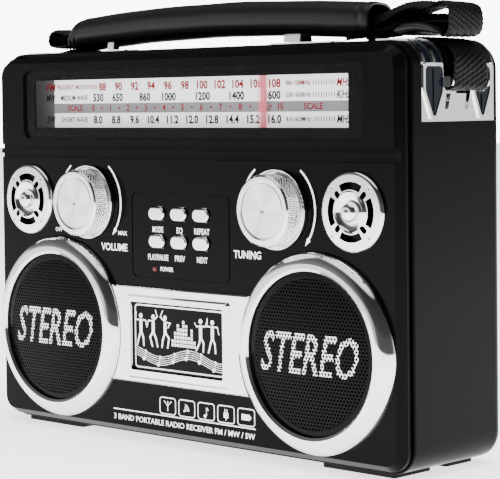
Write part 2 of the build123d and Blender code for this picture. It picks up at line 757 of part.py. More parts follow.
def tweeter_trim(sign):
    """Low chrome ring with four arc slots and four oval holes round a dish with a pointed centre."""
    x = sign * TWEETER[0]
    z = TWEETER[1]
    with BuildPart() as trim:
        add(turned([(0, -6.0), (1.4, -5.4), (4.0, -3.4), (5.0, -1.2), (7.9, -2.6), (8.3, -3.2),
                    (8.9, -2.6), (14.9, -2.3), (TWEETER_R, -0.6), (TWEETER_R, 0.0), (15.0, 0.0),
                    (14.4, -1.0), (7.0, -1.4), (5.4, -0.2), (0, -0.2)], x, z,
                   [(1, (3.0, -4.9)), (3, (6.4, -1.5)), (7, (16.4, -1.7))]))
        with BuildSketch(front(-8, x, z)):
            for turn in range(4):
                with BuildLine():
                    CenterArc((0, 0), SLOT_MID_R, 90 * turn - 30, 60)
                trace(line_width=3.2)
            with PolarLocations(9.9, 4, start_angle=45):
                SlotOverall(3.6, 2.5)
        extrude(amount=-9, mode=Mode.SUBTRACT)
        with BuildSketch(front(-8, x, z)):
            with PolarLocations(14.2, 4, start_angle=45):
                Circle(0.8)
        extrude(amount=-6.1, mode=Mode.SUBTRACT)
    return trim.part


# ---- controls ----
def knob_body(sign):
    """Chrome skirt and toothed barrel, with a seat for the cap and a bore for the shaft."""
    x = sign * KNOB[0]
    z = KNOB[1]
    with BuildPart() as knob:
        add(turned([(3.03, -0.4), (17.2, -0.4), (17.2, -0.9), (KNOB_R, -1.9), (KNOB_R, -9.3),
                    (14.4, -10.3), (12.2, -10.3), (12.0, -9.3), (3.03, -9.3)], x, z,
                   [(2, (16.2, -1.2))]))
        with BuildSketch(front(-2.2, x, z)):
            with PolarLocations(KNOB_R + 0.1, 48):
                Rectangle(0.7, 1.0)
        extrude(amount=7.0, mode=Mode.SUBTRACT)
    return knob.part


def knob_cap(sign):
    return turned([(0, -9.32), (11.9, -9.32), (11.9, -9.7), (11.5, -10.0), (0, -9.8)],
                  sign * KNOB[0], KNOB[1])


def shaft(sign, back):
    return turned([(0, -9.2), (SHAFT_R, -9.2), (SHAFT_R, back), (0, back)],
                  sign * KNOB[0], KNOB[1])


def volume_potentiometer():
    bore = SHAFT_R + SLIDE_FIT
    return turned([(bore, 0.4), (3.9, 0.4), (3.9, FACE_T + 0.3), (8.5, FACE_T + 0.3), (8.5, 15.0),
                   (bore, 15.0)], -KNOB[0], KNOB[1])


def tuning_bushing():
    bore = SHAFT_R + SLIDE_FIT
    return turned([(bore, 0.4), (3.9, 0.4), (3.9, FACE_T + 0.3), (6.5, FACE_T + 0.3), (6.5, 9.0),
                   (bore, 9.0)], KNOB[0], KNOB[1])


def key(x, z):
    """Domed oblong button with a flange behind the face."""
    with BuildPart() as button:
        with BuildSketch(front(-1.5, x, z)):
            SlotOverall(*KEY_SIZE)
        extrude(amount=-4.2)
        fillet(button.faces().sort_by(Axis.Y)[0].edges(), 0.9)
        with BuildSketch(front(FACE_T + 0.2, x, z)):
            SlotOverall(KEY_SIZE[0] + KEY_FLANGE, KEY_SIZE[1] + KEY_FLANGE)
        extrude(amount=-KEY_FLANGE_T)
    return button.part


def key_board():
    """Small circuit board with one push switch behind each key."""
    with BuildPart() as keys:
        with BuildSketch(front(KEY_BOARD_DEPTH)):
            with Locations((0, 92.0)):
                Rectangle(*KEY_BOARD_SIZE)
        extrude(amount=-1.2)
        with BuildSketch(front(KEY_BOARD_DEPTH)):
            with Locations(*[(x, z) for x in KEY_X for z in KEY_Z]):
                Rectangle(6.0, 6.0)
        extrude(amount=1.6)
        with BuildSketch(front(KEY_BOARD_DEPTH - 1.6)):
            with Locations(*[(x, z) for x in KEY_X for z in KEY_Z]):
                Circle(1.7)
        extrude(amount=0.7)
    return keys.part


def status_led():
    return turned([(0, -0.7), (0.9, -0.5), (LAMP_R, 0.2), (LAMP_R, 3.4), (1.6, 3.4),
                   (1.6, KEY_BOARD_DEPTH - 0.1), (0, KEY_BOARD_DEPTH - 0.1)], *LAMP)


def slide_knob(x, size, teeth):
    """Slide-switch knob: a ribbed, slightly tapered grip above the top and a stem in the slot."""
    with BuildPart() as knob:
        with BuildSketch(level(CASE_H + KNOB_LIFT)):
            with Locations((x, SWITCH_Y)):
                RectangleRounded(size[0], size[1], 0.6)
        extrude(amount=KNOB_H, taper=9)
        with BuildSketch(level(CASE_H - STEM_DROP)):
            with Locations((x, SWITCH_Y)):
                Rectangle(4.0, 2.8)
        extrude(amount=STEM_DROP + KNOB_LIFT)
        with BuildSketch(level(CASE_H + KNOB_LIFT + KNOB_H)):
            with Locations((x, SWITCH_Y)):
                with GridLocations((size[0] - 1.0) / teeth, 1, teeth, 1):
                    Rectangle(0.5, size[1] + 1)
        extrude(amount=-0.7, mode=Mode.SUBTRACT)
    return knob.part


def switch_plates():
    with BuildPart() as plates:
        for x, stroke, plate in SWITCHES:
            with BuildSketch(level(CASE_H)):
                with Locations((mid(plate), SWITCH_Y)):
                    RectangleRounded(span(plate), PLATE_W, 1.2)
                with Locations((x + stroke / 2, SWITCH_Y)):
                    RectangleRounded(stroke + SWITCH_SLOT[0], SWITCH_SLOT[1], 1, mode=Mode.SUBTRACT)
            extrude(amount=PLATE_T)
    return plates.part


# ---- display ----
def display_frame():
    """Chrome surround whose ends are hollowed to follow the speaker rings."""
    z_mid = mid(DISPLAY_Z)
    with BuildPart() as frame:
        with BuildSketch(front(0)):
            with Locations((0, z_mid)):
                Rectangle(DISPLAY_W, span(DISPLAY_Z))
            with Locations((-WOOFER[0], WOOFER[1]), (WOOFER[0], WOOFER[1])):
                Circle(BEZEL_R + 0.4, mode=Mode.SUBTRACT)
        extrude(amount=DISPLAY_PROUD)
        chamfer(frame.faces().sort_by(Axis.Y)[0].edges(), 0.6)
        with BuildSketch(front(-DISPLAY_PROUD)):
            with Locations((0, 46.6)):
                RectangleRounded(*DISPLAY_BLOCK, 1.5)
        extrude(amount=1.5)
        chamfer(frame.faces().sort_by(Axis.Y)[0].edges(), 0.8)
        with BuildSketch(front(-4)):
            with Locations((0, 46.9)):
                RectangleRounded(*DISPLAY_OPENING, 1.0)
        extrude(amount=-4, mode=Mode.SUBTRACT)
    return frame.part


# ---- power, boards and sockets ----
def battery_door():
    """Cover over the cells, with two hooked tabs below and a thumb notch above."""
    with BuildPart() as door:
        with BuildSketch(front(CASE_DEPTH)):
            with Locations((0, mid(BAY_Z))):
                Rectangle(2 * (BAY_HALF + DOOR_LIP - GAP), span(BAY_Z) + 2 * (DOOR_LIP - GAP))
        extrude(amount=DOOR_SEAT - 0.1)
        # the lower edge is rounded about the hinge axis
        fillet(door.edges().filter_by(Axis.X).group_by(Axis.Z)[0], DOOR_EDGE_R)
        with BuildSketch(front(CASE_DEPTH - DOOR_SEAT + 0.1)):
            with Locations((0, mid(BAY_Z) + 0.5)):
                Rectangle(2 * BAY_HALF - 1.0, span(BAY_Z) - 2.0)
        extrude(amount=1.3)
        with BuildSketch(front(CASE_DEPTH)):
            with Locations((0, BAY_Z[1] - 3.0)):
                SlotOverall(26.0, 4.0)
        extrude(amount=0.8, mode=Mode.SUBTRACT)
    return door.part


def d_cells():
    with BuildPart() as cells:
        for i in (-1, 0, 1):
            x = i * CELL_L - CELL_L / 2 + 0.5
            centre = (BAY_DEPTH + CELL_R + 0.1, mid(BAY_Z))
            with BuildSketch(across(x)):
                with Locations(centre):
                    Circle(CELL_R)
            extrude(amount=CELL_L - 2.4)
            with BuildSketch(across(x + CELL_L - 2.4)):
                with Locations(centre):
                    Circle(4.6)
            extrude(amount=1.4)
    return cells.part


def battery_contacts():
    """Sprung plates at the ends of the bay."""
    with BuildPart() as contacts:
        for sign in (-1, 1):
            with BuildSketch(across(sign * BAY_HALF)):
                with Locations((46.0, mid(BAY_Z))):
                    Rectangle(18.0, 20.0)
            extrude(amount=-sign * 0.5)
            with BuildSketch(across(sign * (BAY_HALF - 0.5))):
                with Locations((46.0, mid(BAY_Z))):
                    Circle(5.0)
                    Circle(3.8, mode=Mode.SUBTRACT)
            extrude(amount=-sign * 1.4)
    return contacts.part


def main_board():
    """Main circuit board with its larger components."""
    with BuildPart() as pcb:
        with BuildSketch(front(BOARD_DEPTH)):
            with Locations((0, BOARD_MID_Z)):
                Rectangle(*BOARD_SIZE)
        extrude(amount=-1.6)
        for x, z, wide, tall, thick in COMPONENTS:
            with BuildSketch(front(BOARD_DEPTH)):
                with Locations((x, z)):
                    RectangleRounded(wide, tall, 1)
            extrude(amount=thick)
    return pcb.part


def ferrite_rod():
    """Aerial rod for medium wave with two coils, in line along the top inside."""
    with BuildPart() as rod:
        with BuildSketch(across(-ROD_L / 2)):
            with Locations(ROD):
                Circle(ROD_R)
        extrude(amount=ROD_L)
        for x in (-48.0, 20.0):
            with BuildSketch(across(x)):
                with Locations(ROD):
                    Circle(COIL_R)
            extrude(amount=COIL_L)
    return rod.part


def side_sockets():
    """Panel in the left side with a headphone socket, a supply socket and two slots."""
    left = -CASE_W / 2
    with BuildPart() as panel:
        with BuildSketch(across(left + 0.4)):
            with Locations((SOCKET_Y, SOCKET_MID_Z)):
                RectangleRounded(SOCKET_SIZE[0] - 0.2, SOCKET_SIZE[1] - 0.2, 1.9)
        extrude(amount=6.0)
        with BuildSketch(across(left + 6.4)):
            with Locations((SOCKET_Y, 104.0)):
                Circle(4.0)
        extrude(amount=JACK_DEPTH - 5.0)
        with BuildSketch(across(left + 0.4)):
            with Locations((SOCKET_Y, 104.0)):
                Circle(JACK_R)
        extrude(amount=JACK_DEPTH, mode=Mode.SUBTRACT)
        with BuildSketch(across(left + 0.4)):
            with Locations((SOCKET_Y, 92.0)):
                Circle(DC_R)
                Circle(1.0, mode=Mode.SUBTRACT)
            with Locations((SOCKET_Y, 76.0)):
                Rectangle(5.2, 12.4)
                Rectangle(2.0, 10.6, mode=Mode.SUBTRACT)
            with Locations((SOCKET_Y, 61.0)):
                Rectangle(1.6, 11.5)
        extrude(amount=5.0, mode=Mode.SUBTRACT)
    return panel.part


# ---- telescopic aerial ----
def aerial_swivel():
    """Turning base with two cheeks and the hinge pin between them."""
    y, z = AERIAL
    x = AERIAL_PIVOT_X
    with BuildPart() as swivel:
        with BuildSketch(level(RABBET_Z - 1.8)):
            with Locations((x, y)):
                Circle(1.5)
        extrude(amount=1.9)
        with BuildSketch(level(RABBET_Z + 0.1)):
            with Locations((x, y)):
                Circle(3.9)
        extrude(amount=1.0)
        for cheek_y in (y - 3.2, y + 1.8):
            with BuildSketch(front(cheek_y)):
                with Locations((x, RABBET_Z + 2.6)):
                    Rectangle(4.4, 3.2)
                with Locations((x, z)):
                    Circle(2.2)
            extrude(amount=-1.4)
        with BuildSketch(front(y - 3.2)):
            with Locations((x, z)):
                Circle(0.9)
        extrude(amount=-6.4)
    return swivel.part


def aerial_tube(index):
    """One section of the aerial; the first carries the hinge tongue."""
    outer, bore, start, end = AERIAL_TUBES[index]
    y, z = AERIAL
    with BuildPart() as tube:
        with BuildSketch(across(start)):
            with Locations((y, z)):
                Circle(outer)
                if bore:
                    Circle(bore, mode=Mode.SUBTRACT)
        extrude(amount=end - start)
        if index == 0:
            with BuildSketch(across(start)):
                with Locations((y, z)):
                    Circle(outer)
            extrude(amount=-2.0)
            with BuildSketch(front(y - 1.6)):
                with Locations((AERIAL_PIVOT_X, z)):
                    Circle(2.2)
                with Locations(((AERIAL_PIVOT_X + start) / 2 - 0.5, z)):
                    Rectangle(AERIAL_PIVOT_X - start + 1, 3.2)
            extrude(amount=-3.2)
            with BuildSketch(front(y - 2)):
                with Locations((AERIAL_PIVOT_X, z)):
                    Circle(0.9 + SLIDE_FIT)
            extrude(amount=-4, mode=Mode.SUBTRACT)
        if not bore:
            with BuildSketch(across(end)):
                with Locations((y, z)):
                    Circle(2.6)
            extrude(amount=-3.4)
    return tube.part


# ---- feet and screws ----
def feet():
    with BuildPart() as pads:
        for y_pair in FEET_Y:
            with BuildSketch(level(-FOOT_H)):
                with Locations((-FOOT_X, mid(y_pair)), (FOOT_X, mid(y_pair))):
                    RectangleRounded(FOOT_W, span(y_pair), 1.5)
            extrude(amount=FOOT_H)
    return pads.part


def case_screws():
    """Six screws in the back, their heads let into the wall."""
    with BuildPart() as screws:
        with BuildSketch(front(CASE_DEPTH - SCREW_SUNK)):
            with Locations(*SCREWS):
                Circle(SCREW_HEAD_R)
        extrude(amount=-0.9)
        with BuildSketch(front(CASE_DEPTH - SCREW_SUNK)):
            with Locations(*SCREWS):
                Circle(SCREW_R)
        extrude(amount=7.0)
        with BuildSketch(front(CASE_DEPTH - 0.1)):
            with Locations(*SCREWS):
                Rectangle(3.4, 0.6)
                Rectangle(0.6, 3.4)
        extrude(amount=0.5, mode=Mode.SUBTRACT)
    return screws.part


def build():
    pieces = {"front_housing": front_housing(), "rear_housing": rear_housing()}
    pieces["dial_lens"] = board((-LENS_W / 2, LENS_W / 2), LENS_Z, 0.0, LENS_T, 4.0)
    pieces["dial_scale_plate"] = board((-SCALE_HALF, SCALE_HALF), SCALE_Z, SCALE_DEPTH, SCALE_T)
    pieces["dial_pointer"] = dial_pointer()
    pieces["dial_bracket"] = dial_bracket()
    pieces["dial_cord"] = dial_cord()
    pieces["tuning_drum"] = tuning_drum()
    pieces["tuning_capacitor"] = tuning_capacitor()
    pieces["tuning_bushing"] = tuning_bushing()
    pieces["volume_potentiometer"] = volume_potentiometer()
    for name, sign in sides():
        pieces["cord_post_" + name] = cord_post(sign)
        pieces["woofer_bezel_" + name] = woofer_bezel(sign)
        pieces["woofer_grille_" + name] = woofer_grille(sign)
        pieces["woofer_driver_" + name] = woofer_driver(sign)
        pieces["tweeter_trim_" + name] = tweeter_trim(sign)
        pieces["corner_cap_" + name] = corner_cap(sign)
    for name, sign, back in (("volume", -1, 16.0), ("tuning", 1, 26.0)):
        pieces[name + "_knob"] = knob_body(sign)
        pieces[name + "_knob_cap"] = knob_cap(sign)
        pieces[name + "_shaft"] = shaft(sign, back)
    names = ("mode", "eq", "repeat", "play", "previous", "next")
    places = [(x, z) for z in KEY_Z for x in KEY_X]
    for name, (x, z) in zip(names, places):
        pieces["key_" + name] = key(x, z)
    pieces["key_board"] = key_board()
    pieces["status_led"] = status_led()
    pieces["display_frame"] = display_frame()
    pieces["display_window"] = board(*DISPLAY_PANE, -1.6, 1.6, 0.8)
    pieces["cap_inserts"] = cap_inserts()
    pieces["strap_bars"] = strap_bars()
    pieces["handle_strap_left"] = handle_strap_left()
    pieces["handle_strap_right"] = handle_strap_right()
    pieces["handle_grip"] = handle_grip()
    pieces["strap_buckle"] = strap_buckle()
    pieces["function_switch_knob"] = slide_knob(SWITCHES[0][0], *SLIDE_KNOBS[0])
    pieces["band_switch_knob"] = slide_knob(SWITCHES[1][0], *SLIDE_KNOBS[1])
    pieces["switch_plates"] = switch_plates()
    pieces["battery_door"] = battery_door()
    pieces["d_cells"] = d_cells()
    pieces["battery_contacts"] = battery_contacts()
    pieces["main_board"] = main_board()
    pieces["ferrite_rod"] = ferrite_rod()
    pieces["side_sockets"] = side_sockets()
    pieces["aerial_swivel"] = aerial_swivel()
    for index in range(len(AERIAL_TUBES)):
        pieces["aerial_tube_" + str(index + 1)] = aerial_tube(index)
    pieces["feet"] = feet()
    pieces["case_screws"] = case_screws()
    return pieces


for piece_name, piece in build().items():
    save(piece, piece_name)
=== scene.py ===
"""Looks of the portable shortwave receiver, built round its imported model. All lengths in metres."""

import json
import math
import random

import bmesh
import bpy
from mathutils import Matrix, Vector
from mathutils.bvhtree import BVHTree


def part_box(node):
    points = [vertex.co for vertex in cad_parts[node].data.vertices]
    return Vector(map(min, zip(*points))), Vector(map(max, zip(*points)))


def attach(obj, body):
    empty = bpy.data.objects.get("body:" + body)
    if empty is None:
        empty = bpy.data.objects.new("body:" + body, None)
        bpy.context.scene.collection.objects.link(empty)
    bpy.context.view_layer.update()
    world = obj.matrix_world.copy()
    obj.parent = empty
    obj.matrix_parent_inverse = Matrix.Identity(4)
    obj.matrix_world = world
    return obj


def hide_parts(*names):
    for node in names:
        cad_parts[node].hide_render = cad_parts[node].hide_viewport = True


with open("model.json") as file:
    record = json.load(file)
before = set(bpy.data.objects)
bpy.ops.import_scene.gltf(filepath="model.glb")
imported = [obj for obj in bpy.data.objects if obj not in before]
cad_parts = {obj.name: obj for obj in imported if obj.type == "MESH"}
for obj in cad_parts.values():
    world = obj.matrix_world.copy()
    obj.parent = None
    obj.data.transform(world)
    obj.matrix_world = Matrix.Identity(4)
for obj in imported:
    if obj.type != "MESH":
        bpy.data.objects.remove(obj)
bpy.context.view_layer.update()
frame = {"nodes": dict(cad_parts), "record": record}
NODES = frame["nodes"]
MM = 0.001

# ---- places taken from the frame ----
LENS_LOW, LENS_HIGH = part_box("dial_lens")
FACE_Y = LENS_LOW.y
CASE_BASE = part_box("front_housing")[0].z
# thickness of printed marks, millimetres
INK = 0.03

# ---- studio ----
CAMERA_PLACE = (621.4, 152.3, 595.5)
CAMERA_ANGLES = (44.105, 1.968, -0.653)
CAMERA_LENS = 138.8
CAMERA_SHIFT = -0.14
LIGHT_TARGET = Vector((0, 0, 0.1))
FLOOR_HALF = 5.0
ROOM_GLOW = 1.7
BACKDROP_GLOW = 9.0


def at(x, z, proud=0.0):
    """Point over the face, given in millimetres from the middle and from the casing's underside."""
    return Vector((x * MM, FACE_Y - proud * MM, CASE_BASE + z * MM))


def centre(node):
    low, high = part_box(node)
    return (low + high) / 2


# ---- camera, floor and light ----
def make_camera():
    """Long lens, a little above the middle of the set, its axis 44 degrees off the face."""
    yaw, pitch, roll = (math.radians(a) for a in CAMERA_ANGLES)
    flat_ahead = Vector((-math.sin(yaw), math.cos(yaw), 0))
    flat_right = Vector((math.cos(yaw), math.sin(yaw), 0))
    up = Vector((0, 0, 1))
    ahead = flat_ahead * math.cos(pitch) - up * math.sin(pitch)
    tall = up * math.cos(pitch) + flat_ahead * math.sin(pitch)
    right = flat_right * math.cos(roll) + tall * math.sin(roll)
    tall = tall * math.cos(roll) - flat_right * math.sin(roll)
    data = bpy.data.cameras.new("camera")
    data.lens = CAMERA_LENS
    data.sensor_width = 36.0
    data.shift_y = CAMERA_SHIFT
    data.clip_start = 0.05
    camera = bpy.data.objects.new("camera", data)
    turn = Matrix((right, tall, -ahead)).transposed().to_4x4()
    camera.matrix_world = Matrix.Translation(at(*CAMERA_PLACE)) @ turn
    bpy.context.scene.collection.objects.link(camera)
    bpy.context.scene.camera = camera


def soft_box(name, place, width, height, power):
    """Large soft lamp aimed at the set; metal doesn't mirror it."""
    data = bpy.data.lights.new(name, "AREA")
    data.shape = "RECTANGLE"
    data.size = width
    data.size_y = height
    data.energy = power
    light = bpy.data.objects.new(name, data)
    light.location = place
    light.visible_glossy = False
    light.rotation_euler = (LIGHT_TARGET - Vector(place)).to_track_quat("-Z", "Y").to_euler()
    bpy.context.scene.collection.objects.link(light)


def sum_node(tree, kind, first, second):
    node = tree.nodes.new("ShaderNodeMath")
    node.operation = kind
    tree.links.new(first, node.inputs[0])
    tree.links.new(second, node.inputs[1])
    return node.outputs[0]


def make_world():
    """White background; the reflected room is white at the front left and back right, else dark."""
    world = bpy.data.worlds.new("studio")
    bpy.context.scene.world = world
    world.use_nodes = True
    tree = world.node_tree
    glow = tree.nodes["Background"]
    ways = tree.nodes.new("ShaderNodeTexCoord").outputs["Generated"]
    split = tree.nodes.new("ShaderNodeSeparateXYZ")
    tree.links.new(ways, split.inputs[0])
    half = tree.nodes.new("ShaderNodeMath")
    half.operation = "MULTIPLY_ADD"
    half.inputs[1].default_value = 0.5
    half.inputs[2].default_value = 0.5
    tree.links.new(split.outputs["Z"], half.inputs[0])
    low_walls = ramp(tree, half.outputs[0], [(0.25, 0.3), (0.42, 0.9), (0.5, 1.0), (0.6, 1.0),
                                             (0.66, 0.12), (0.8, 0.06), (0.9, 0.05)])
    ceiling = ramp(tree, half.outputs[0], [(0.0, 0.25), (0.3, 0.05), (0.9, 0.02), (0.95, 0.9)])
    compass = tree.nodes.new("ShaderNodeTexGradient")
    compass.gradient_type = "RADIAL"
    tree.links.new(ways, compass.inputs["Vector"])
    walls = ramp(tree, compass.outputs["Fac"],
                 [(0.0, 0.7), (0.06, 1.0), (0.17, 0.9), (0.22, 0.55), (0.27, 0.05), (0.31, 0.02),
                  (0.55, 0.02), (0.57, 0.08), (0.6, 0.75), (0.65, 0.6), (0.69, 0.05), (0.85, 0.05),
                  (0.95, 0.5)])
    total = sum_node(tree, "ADD", sum_node(tree, "MULTIPLY", low_walls, walls), ceiling)
    tree.links.new(total, glow.inputs["Color"])
    glow.inputs["Strength"].default_value = ROOM_GLOW
    white = tree.nodes.new("ShaderNodeBackground")
    white.inputs["Color"].default_value = (1, 1, 1, 1)
    white.inputs["Strength"].default_value = BACKDROP_GLOW
    mixer = tree.nodes.new("ShaderNodeMixShader")
    tree.links.new(tree.nodes.new("ShaderNodeLightPath").outputs["Is Camera Ray"], mixer.inputs[0])
    tree.links.new(glow.outputs[0], mixer.inputs[1])
    tree.links.new(white.outputs[0], mixer.inputs[2])
    tree.links.new(mixer.outputs[0], tree.nodes["World Output"].inputs["Surface"])


def make_studio():
    make_world()
    size = FLOOR_HALF
    mesh = bpy.data.meshes.new("floor")
    mesh.from_pydata([(-size, -size, 0), (size, -size, 0), (size, size, 0), (-size, size, 0)],
                     [], [(0, 1, 2, 3)])
    floor = bpy.data.objects.new("floor", mesh)
    floor.data.materials.append(paint("floor_paper", (0.95, 0.95, 0.95), 0.7, tint=0.01, glow=2.0))
    bpy.context.scene.collection.objects.link(floor)
    soft_box("top_light", (0.1, 0.15, 1.2), 1.3, 0.8, 26)
    soft_box("side_light", (1.1, 0.55, 0.75), 0.6, 0.8, 7)
    soft_box("front_light", (-0.5, -1.4, 0.9), 1.2, 0.7, 12)


# ---- materials ----
def shader(name):
    material = bpy.data.materials.new(name)
    material.use_nodes = True
    return material, material.node_tree, material.node_tree.nodes["Principled BSDF"]


def object_coords(tree):
    return tree.nodes.new("ShaderNodeTexCoord").outputs["Object"]


def noise(tree, scale, detail=3.0):
    node = tree.nodes.new("ShaderNodeTexNoise")
    node.inputs["Scale"].default_value = scale
    node.inputs["Detail"].default_value = detail
    tree.links.new(object_coords(tree), node.inputs["Vector"])
    return node.outputs["Fac"]


def ramp(tree, value, stops):
    """Colour ramp; stops are (position, colour) pairs, a bare number is a grey."""
    node = tree.nodes.new("ShaderNodeValToRGB")
    tree.links.new(value, node.inputs["Fac"])
    elements = node.color_ramp.elements
    while len(elements) < len(stops):
        elements.new(0.5)
    for element, (position, colour) in zip(elements, stops):
        element.position = position
        if isinstance(colour, (int, float)):
            colour = (colour, colour, colour)
        element.color = (*colour, 1)
    return node.outputs["Color"]


def bump(tree, height, strength, distance, surface):
    node = tree.nodes.new("ShaderNodeBump")
    node.inputs["Strength"].default_value = strength
    node.inputs["Distance"].default_value = distance
    tree.links.new(height, node.inputs["Height"])
    tree.links.new(node.outputs["Normal"], surface.inputs["Normal"])


def paint(name, colour, rough, metal=0.0, spread=0.05, grain=900.0, depth=0.0, tint=0.06,
          gloss=0.5, glow=0.0):
    """Moulded, painted or plated surface: slight colour and gloss variation and a fine grain."""
    material, tree, surface = shader(name)
    dark = tuple(c * (1 - tint) for c in colour)
    light = tuple(min(1.0, c * (1 + tint)) for c in colour)
    shade = ramp(tree, noise(tree, 35.0, 4.0), [(0.35, dark), (0.65, light)])
    tree.links.new(shade, surface.inputs["Base Color"])
    low = max(0.0, rough - spread)
    sheen = ramp(tree, noise(tree, 140.0, 5.0), [(0.3, low), (0.7, rough + spread)])
    tree.links.new(sheen, surface.inputs["Roughness"])
    surface.inputs["Metallic"].default_value = metal
    surface.inputs["Specular IOR Level"].default_value = gloss
    # Emission of the surface's own colour. On the dial, prints and pointer this is painted light, a
    # glow standing in for light they do not get; on the floor it only keeps the floor evenly white.
    if glow:
        tree.links.new(shade, surface.inputs["Emission Color"])
        surface.inputs["Emission Strength"].default_value = glow
    if depth:
        bump(tree, noise(tree, grain, 2.0), 0.5, depth, surface)
    return material


def see_through(name, colour, cover, glow=0.0):
    """Clear plastic that hides the given share of what is behind it."""
    material = paint(name, colour, 0.05, spread=0.02, gloss=0.2, glow=glow)
    material.node_tree.nodes["Principled BSDF"].inputs["Alpha"].default_value = cover
    return material


def spun(name, x, z):
    """Lathe-turned disc: fine rings, and painted highlights as lighter and darker sectors round its
    centre.
    """
    material, tree, surface = shader(name)
    place = tree.nodes.new("ShaderNodeMapping")
    place.vector_type = "TEXTURE"
    place.inputs["Location"].default_value = (x, FACE_Y, z)
    place.inputs["Rotation"].default_value = (math.radians(90), 0, 0)
    tree.links.new(object_coords(tree), place.inputs["Vector"])
    sector = tree.nodes.new("ShaderNodeTexGradient")
    sector.gradient_type = "RADIAL"
    tree.links.new(place.outputs[0], sector.inputs["Vector"])
    # painted highlights: the colour brightens and darkens by angle round the centre, in place of the
    # sheen a turned disc reflects
    painted_highlight_sectors = [(0.0, 0.8), (0.1, 0.97), (0.2, 0.72), (0.32, 0.97), (0.45, 0.82), (0.55, 0.98),
             (0.68, 0.7), (0.8, 0.96), (0.92, 0.74), (1.0, 0.8)]
    tree.links.new(ramp(tree, sector.outputs["Fac"], painted_highlight_sectors), surface.inputs["Base Color"])
    rings = tree.nodes.new("ShaderNodeTexWave")
    rings.wave_type = "RINGS"
    rings.rings_direction = "Z"
    rings.inputs["Scale"].default_value = 900.0
    tree.links.new(place.outputs[0], rings.inputs["Vector"])
    bump(tree, rings.outputs["Fac"], 0.25, 0.00003, surface)
    surface.inputs["Metallic"].default_value = 1.0
    surface.inputs["Roughness"].default_value = 0.3
    return material


MATERIALS = {
    "casing": paint("casing_black", (0.0018, 0.0018, 0.002), 0.15, spread=0.03, grain=450,
                    depth=0.000006, gloss=0.05),
    "socket_panel": paint("panel_black", (0.006, 0.006, 0.006), 0.4, depth=0.00004, gloss=0.15),
    "scale": paint("scale_grey", (0.16, 0.16, 0.165), 0.5),
    "zinc_plate": paint("zinc", (0.62, 0.62, 0.6), 0.3, 1.0, depth=0.00002),
    "drive_cord": paint("drive_cord", (0.35, 0.3, 0.22), 0.8, depth=0.0001),
    "inner_plastic": paint("inner_plastic", (0.7, 0.68, 0.62), 0.45, depth=0.00002),
    "chrome_trim": paint("chrome", (0.9, 0.9, 0.905), 0.05, 1.0, 0.02, tint=0.02),
    "knob_chrome": paint("knob_chrome", (0.88, 0.88, 0.88), 0.11, 1.0, 0.03, tint=0.02),
    "grille": paint("grille_black", (0.0025, 0.0025, 0.0025), 0.28, depth=0.00003, gloss=0.08),
    "speaker": paint("speaker_paper", (0.002, 0.002, 0.002), 0.6, depth=0.0001, gloss=0.05),
    # Black of the inserts in the caps; the same material also paints the shade in the hollows between
    # the cap ribs.
    "inlay": paint("inlay_black_and_painted_shade", (0.003, 0.0045, 0.008), 0.1, gloss=0.2),
    "spun_aluminium": paint("spun_aluminium", (0.84, 0.84, 0.85), 0.25, 1.0),
    "circuit_board": paint("circuit_board", (0.02, 0.12, 0.05), 0.4),
    "lamp": paint("lamp_red", (0.12, 0.02, 0.02), 0.15),
    "display": paint("display_black", (0.002, 0.002, 0.0025), 0.12, gloss=0.06),
    "webbing": paint("webbing", (0.0035, 0.0035, 0.0032), 0.42, grain=2600, depth=0.0002, tint=0.5,
                     gloss=0.14),
    "leatherette": paint("leatherette", (0.006, 0.006, 0.0065), 0.4, grain=1500, depth=0.0001,
                         gloss=0.22),
    "buckle": paint("buckle_black", (0.012, 0.012, 0.0125), 0.28, depth=0.00003, gloss=0.4),
    "cell": paint("cell_jacket", (0.1, 0.1, 0.13), 0.3, 0.6),
    "ferrite": paint("ferrite", (0.06, 0.05, 0.05), 0.6, depth=0.0001),
    "foot_rubber": paint("foot_rubber", (0.015, 0.015, 0.015), 0.8, depth=0.0002, gloss=0.2),
    # The pointer glows a little: painted light, since the pointer is no lamp.
    "pointer": see_through("pointer_red", (0.8, 0.09, 0.14), 0.55, glow=0.25),
    "clear_lens": see_through("lens_clear", (0.02, 0.02, 0.021), 0.05),
}
# White ink, silver ink and the tinted pointer strip glow: painted light that keeps the print and the
# strip bright where no lamp lights them.
WHITE_INK = paint("ink_white", (0.95, 0.95, 0.94), 0.5, glow=0.8)
SILVER_INK = paint("ink_silver", (0.85, 0.85, 0.84), 0.4, glow=0.5)
TINTED = see_through("tinted_strip", (0.85, 0.25, 0.32), 0.3, glow=0.3)
BLACK_INK = paint("ink_black", (0.004, 0.004, 0.005), 0.6, gloss=0.1)
RED_INK = paint("ink_red", (0.32, 0.008, 0.015), 0.6, gloss=0.1)
# Dial field and log band glow: painted light standing in for the light the scale, set back behind the
# lens, does not get; the printed scale is no lamp.
DIAL_WHITE = paint("dial_white", (0.93, 0.93, 0.93), 0.6, tint=0.01, glow=0.9)
DIAL_GREY = paint("dial_grey", (0.2, 0.2, 0.21), 0.6, glow=0.5)
# Dark strip at the left end of the scale: painted shade and painted reflection of the window's side
# wall, with a painted glow that keeps it grey.
DIAL_PAINTED_SHADE = paint("dial_painted_shade", (0.07, 0.07, 0.075), 0.6, glow=0.6)


def dress_nodes():
    """Gives every CAD node the material of its slot; the knob discs have their own, with painted
    highlight sectors.
    """
    for part in frame["record"]["subparts"]:
        data = NODES[part["node"]].data
        data.materials.clear()
        data.materials.append(MATERIALS[part["material_slot"]])
    for side in ("volume", "tuning"):
        place = centre(side + "_knob_cap")
        data = NODES[side + "_knob_cap"].data
        data.materials[0] = spun(side + "_disc", place.x, place.z)


# ---- mesh helpers ----
# height of a capital letter of the built-in typeface at size 1
CAPITAL_HEIGHT = 0.7


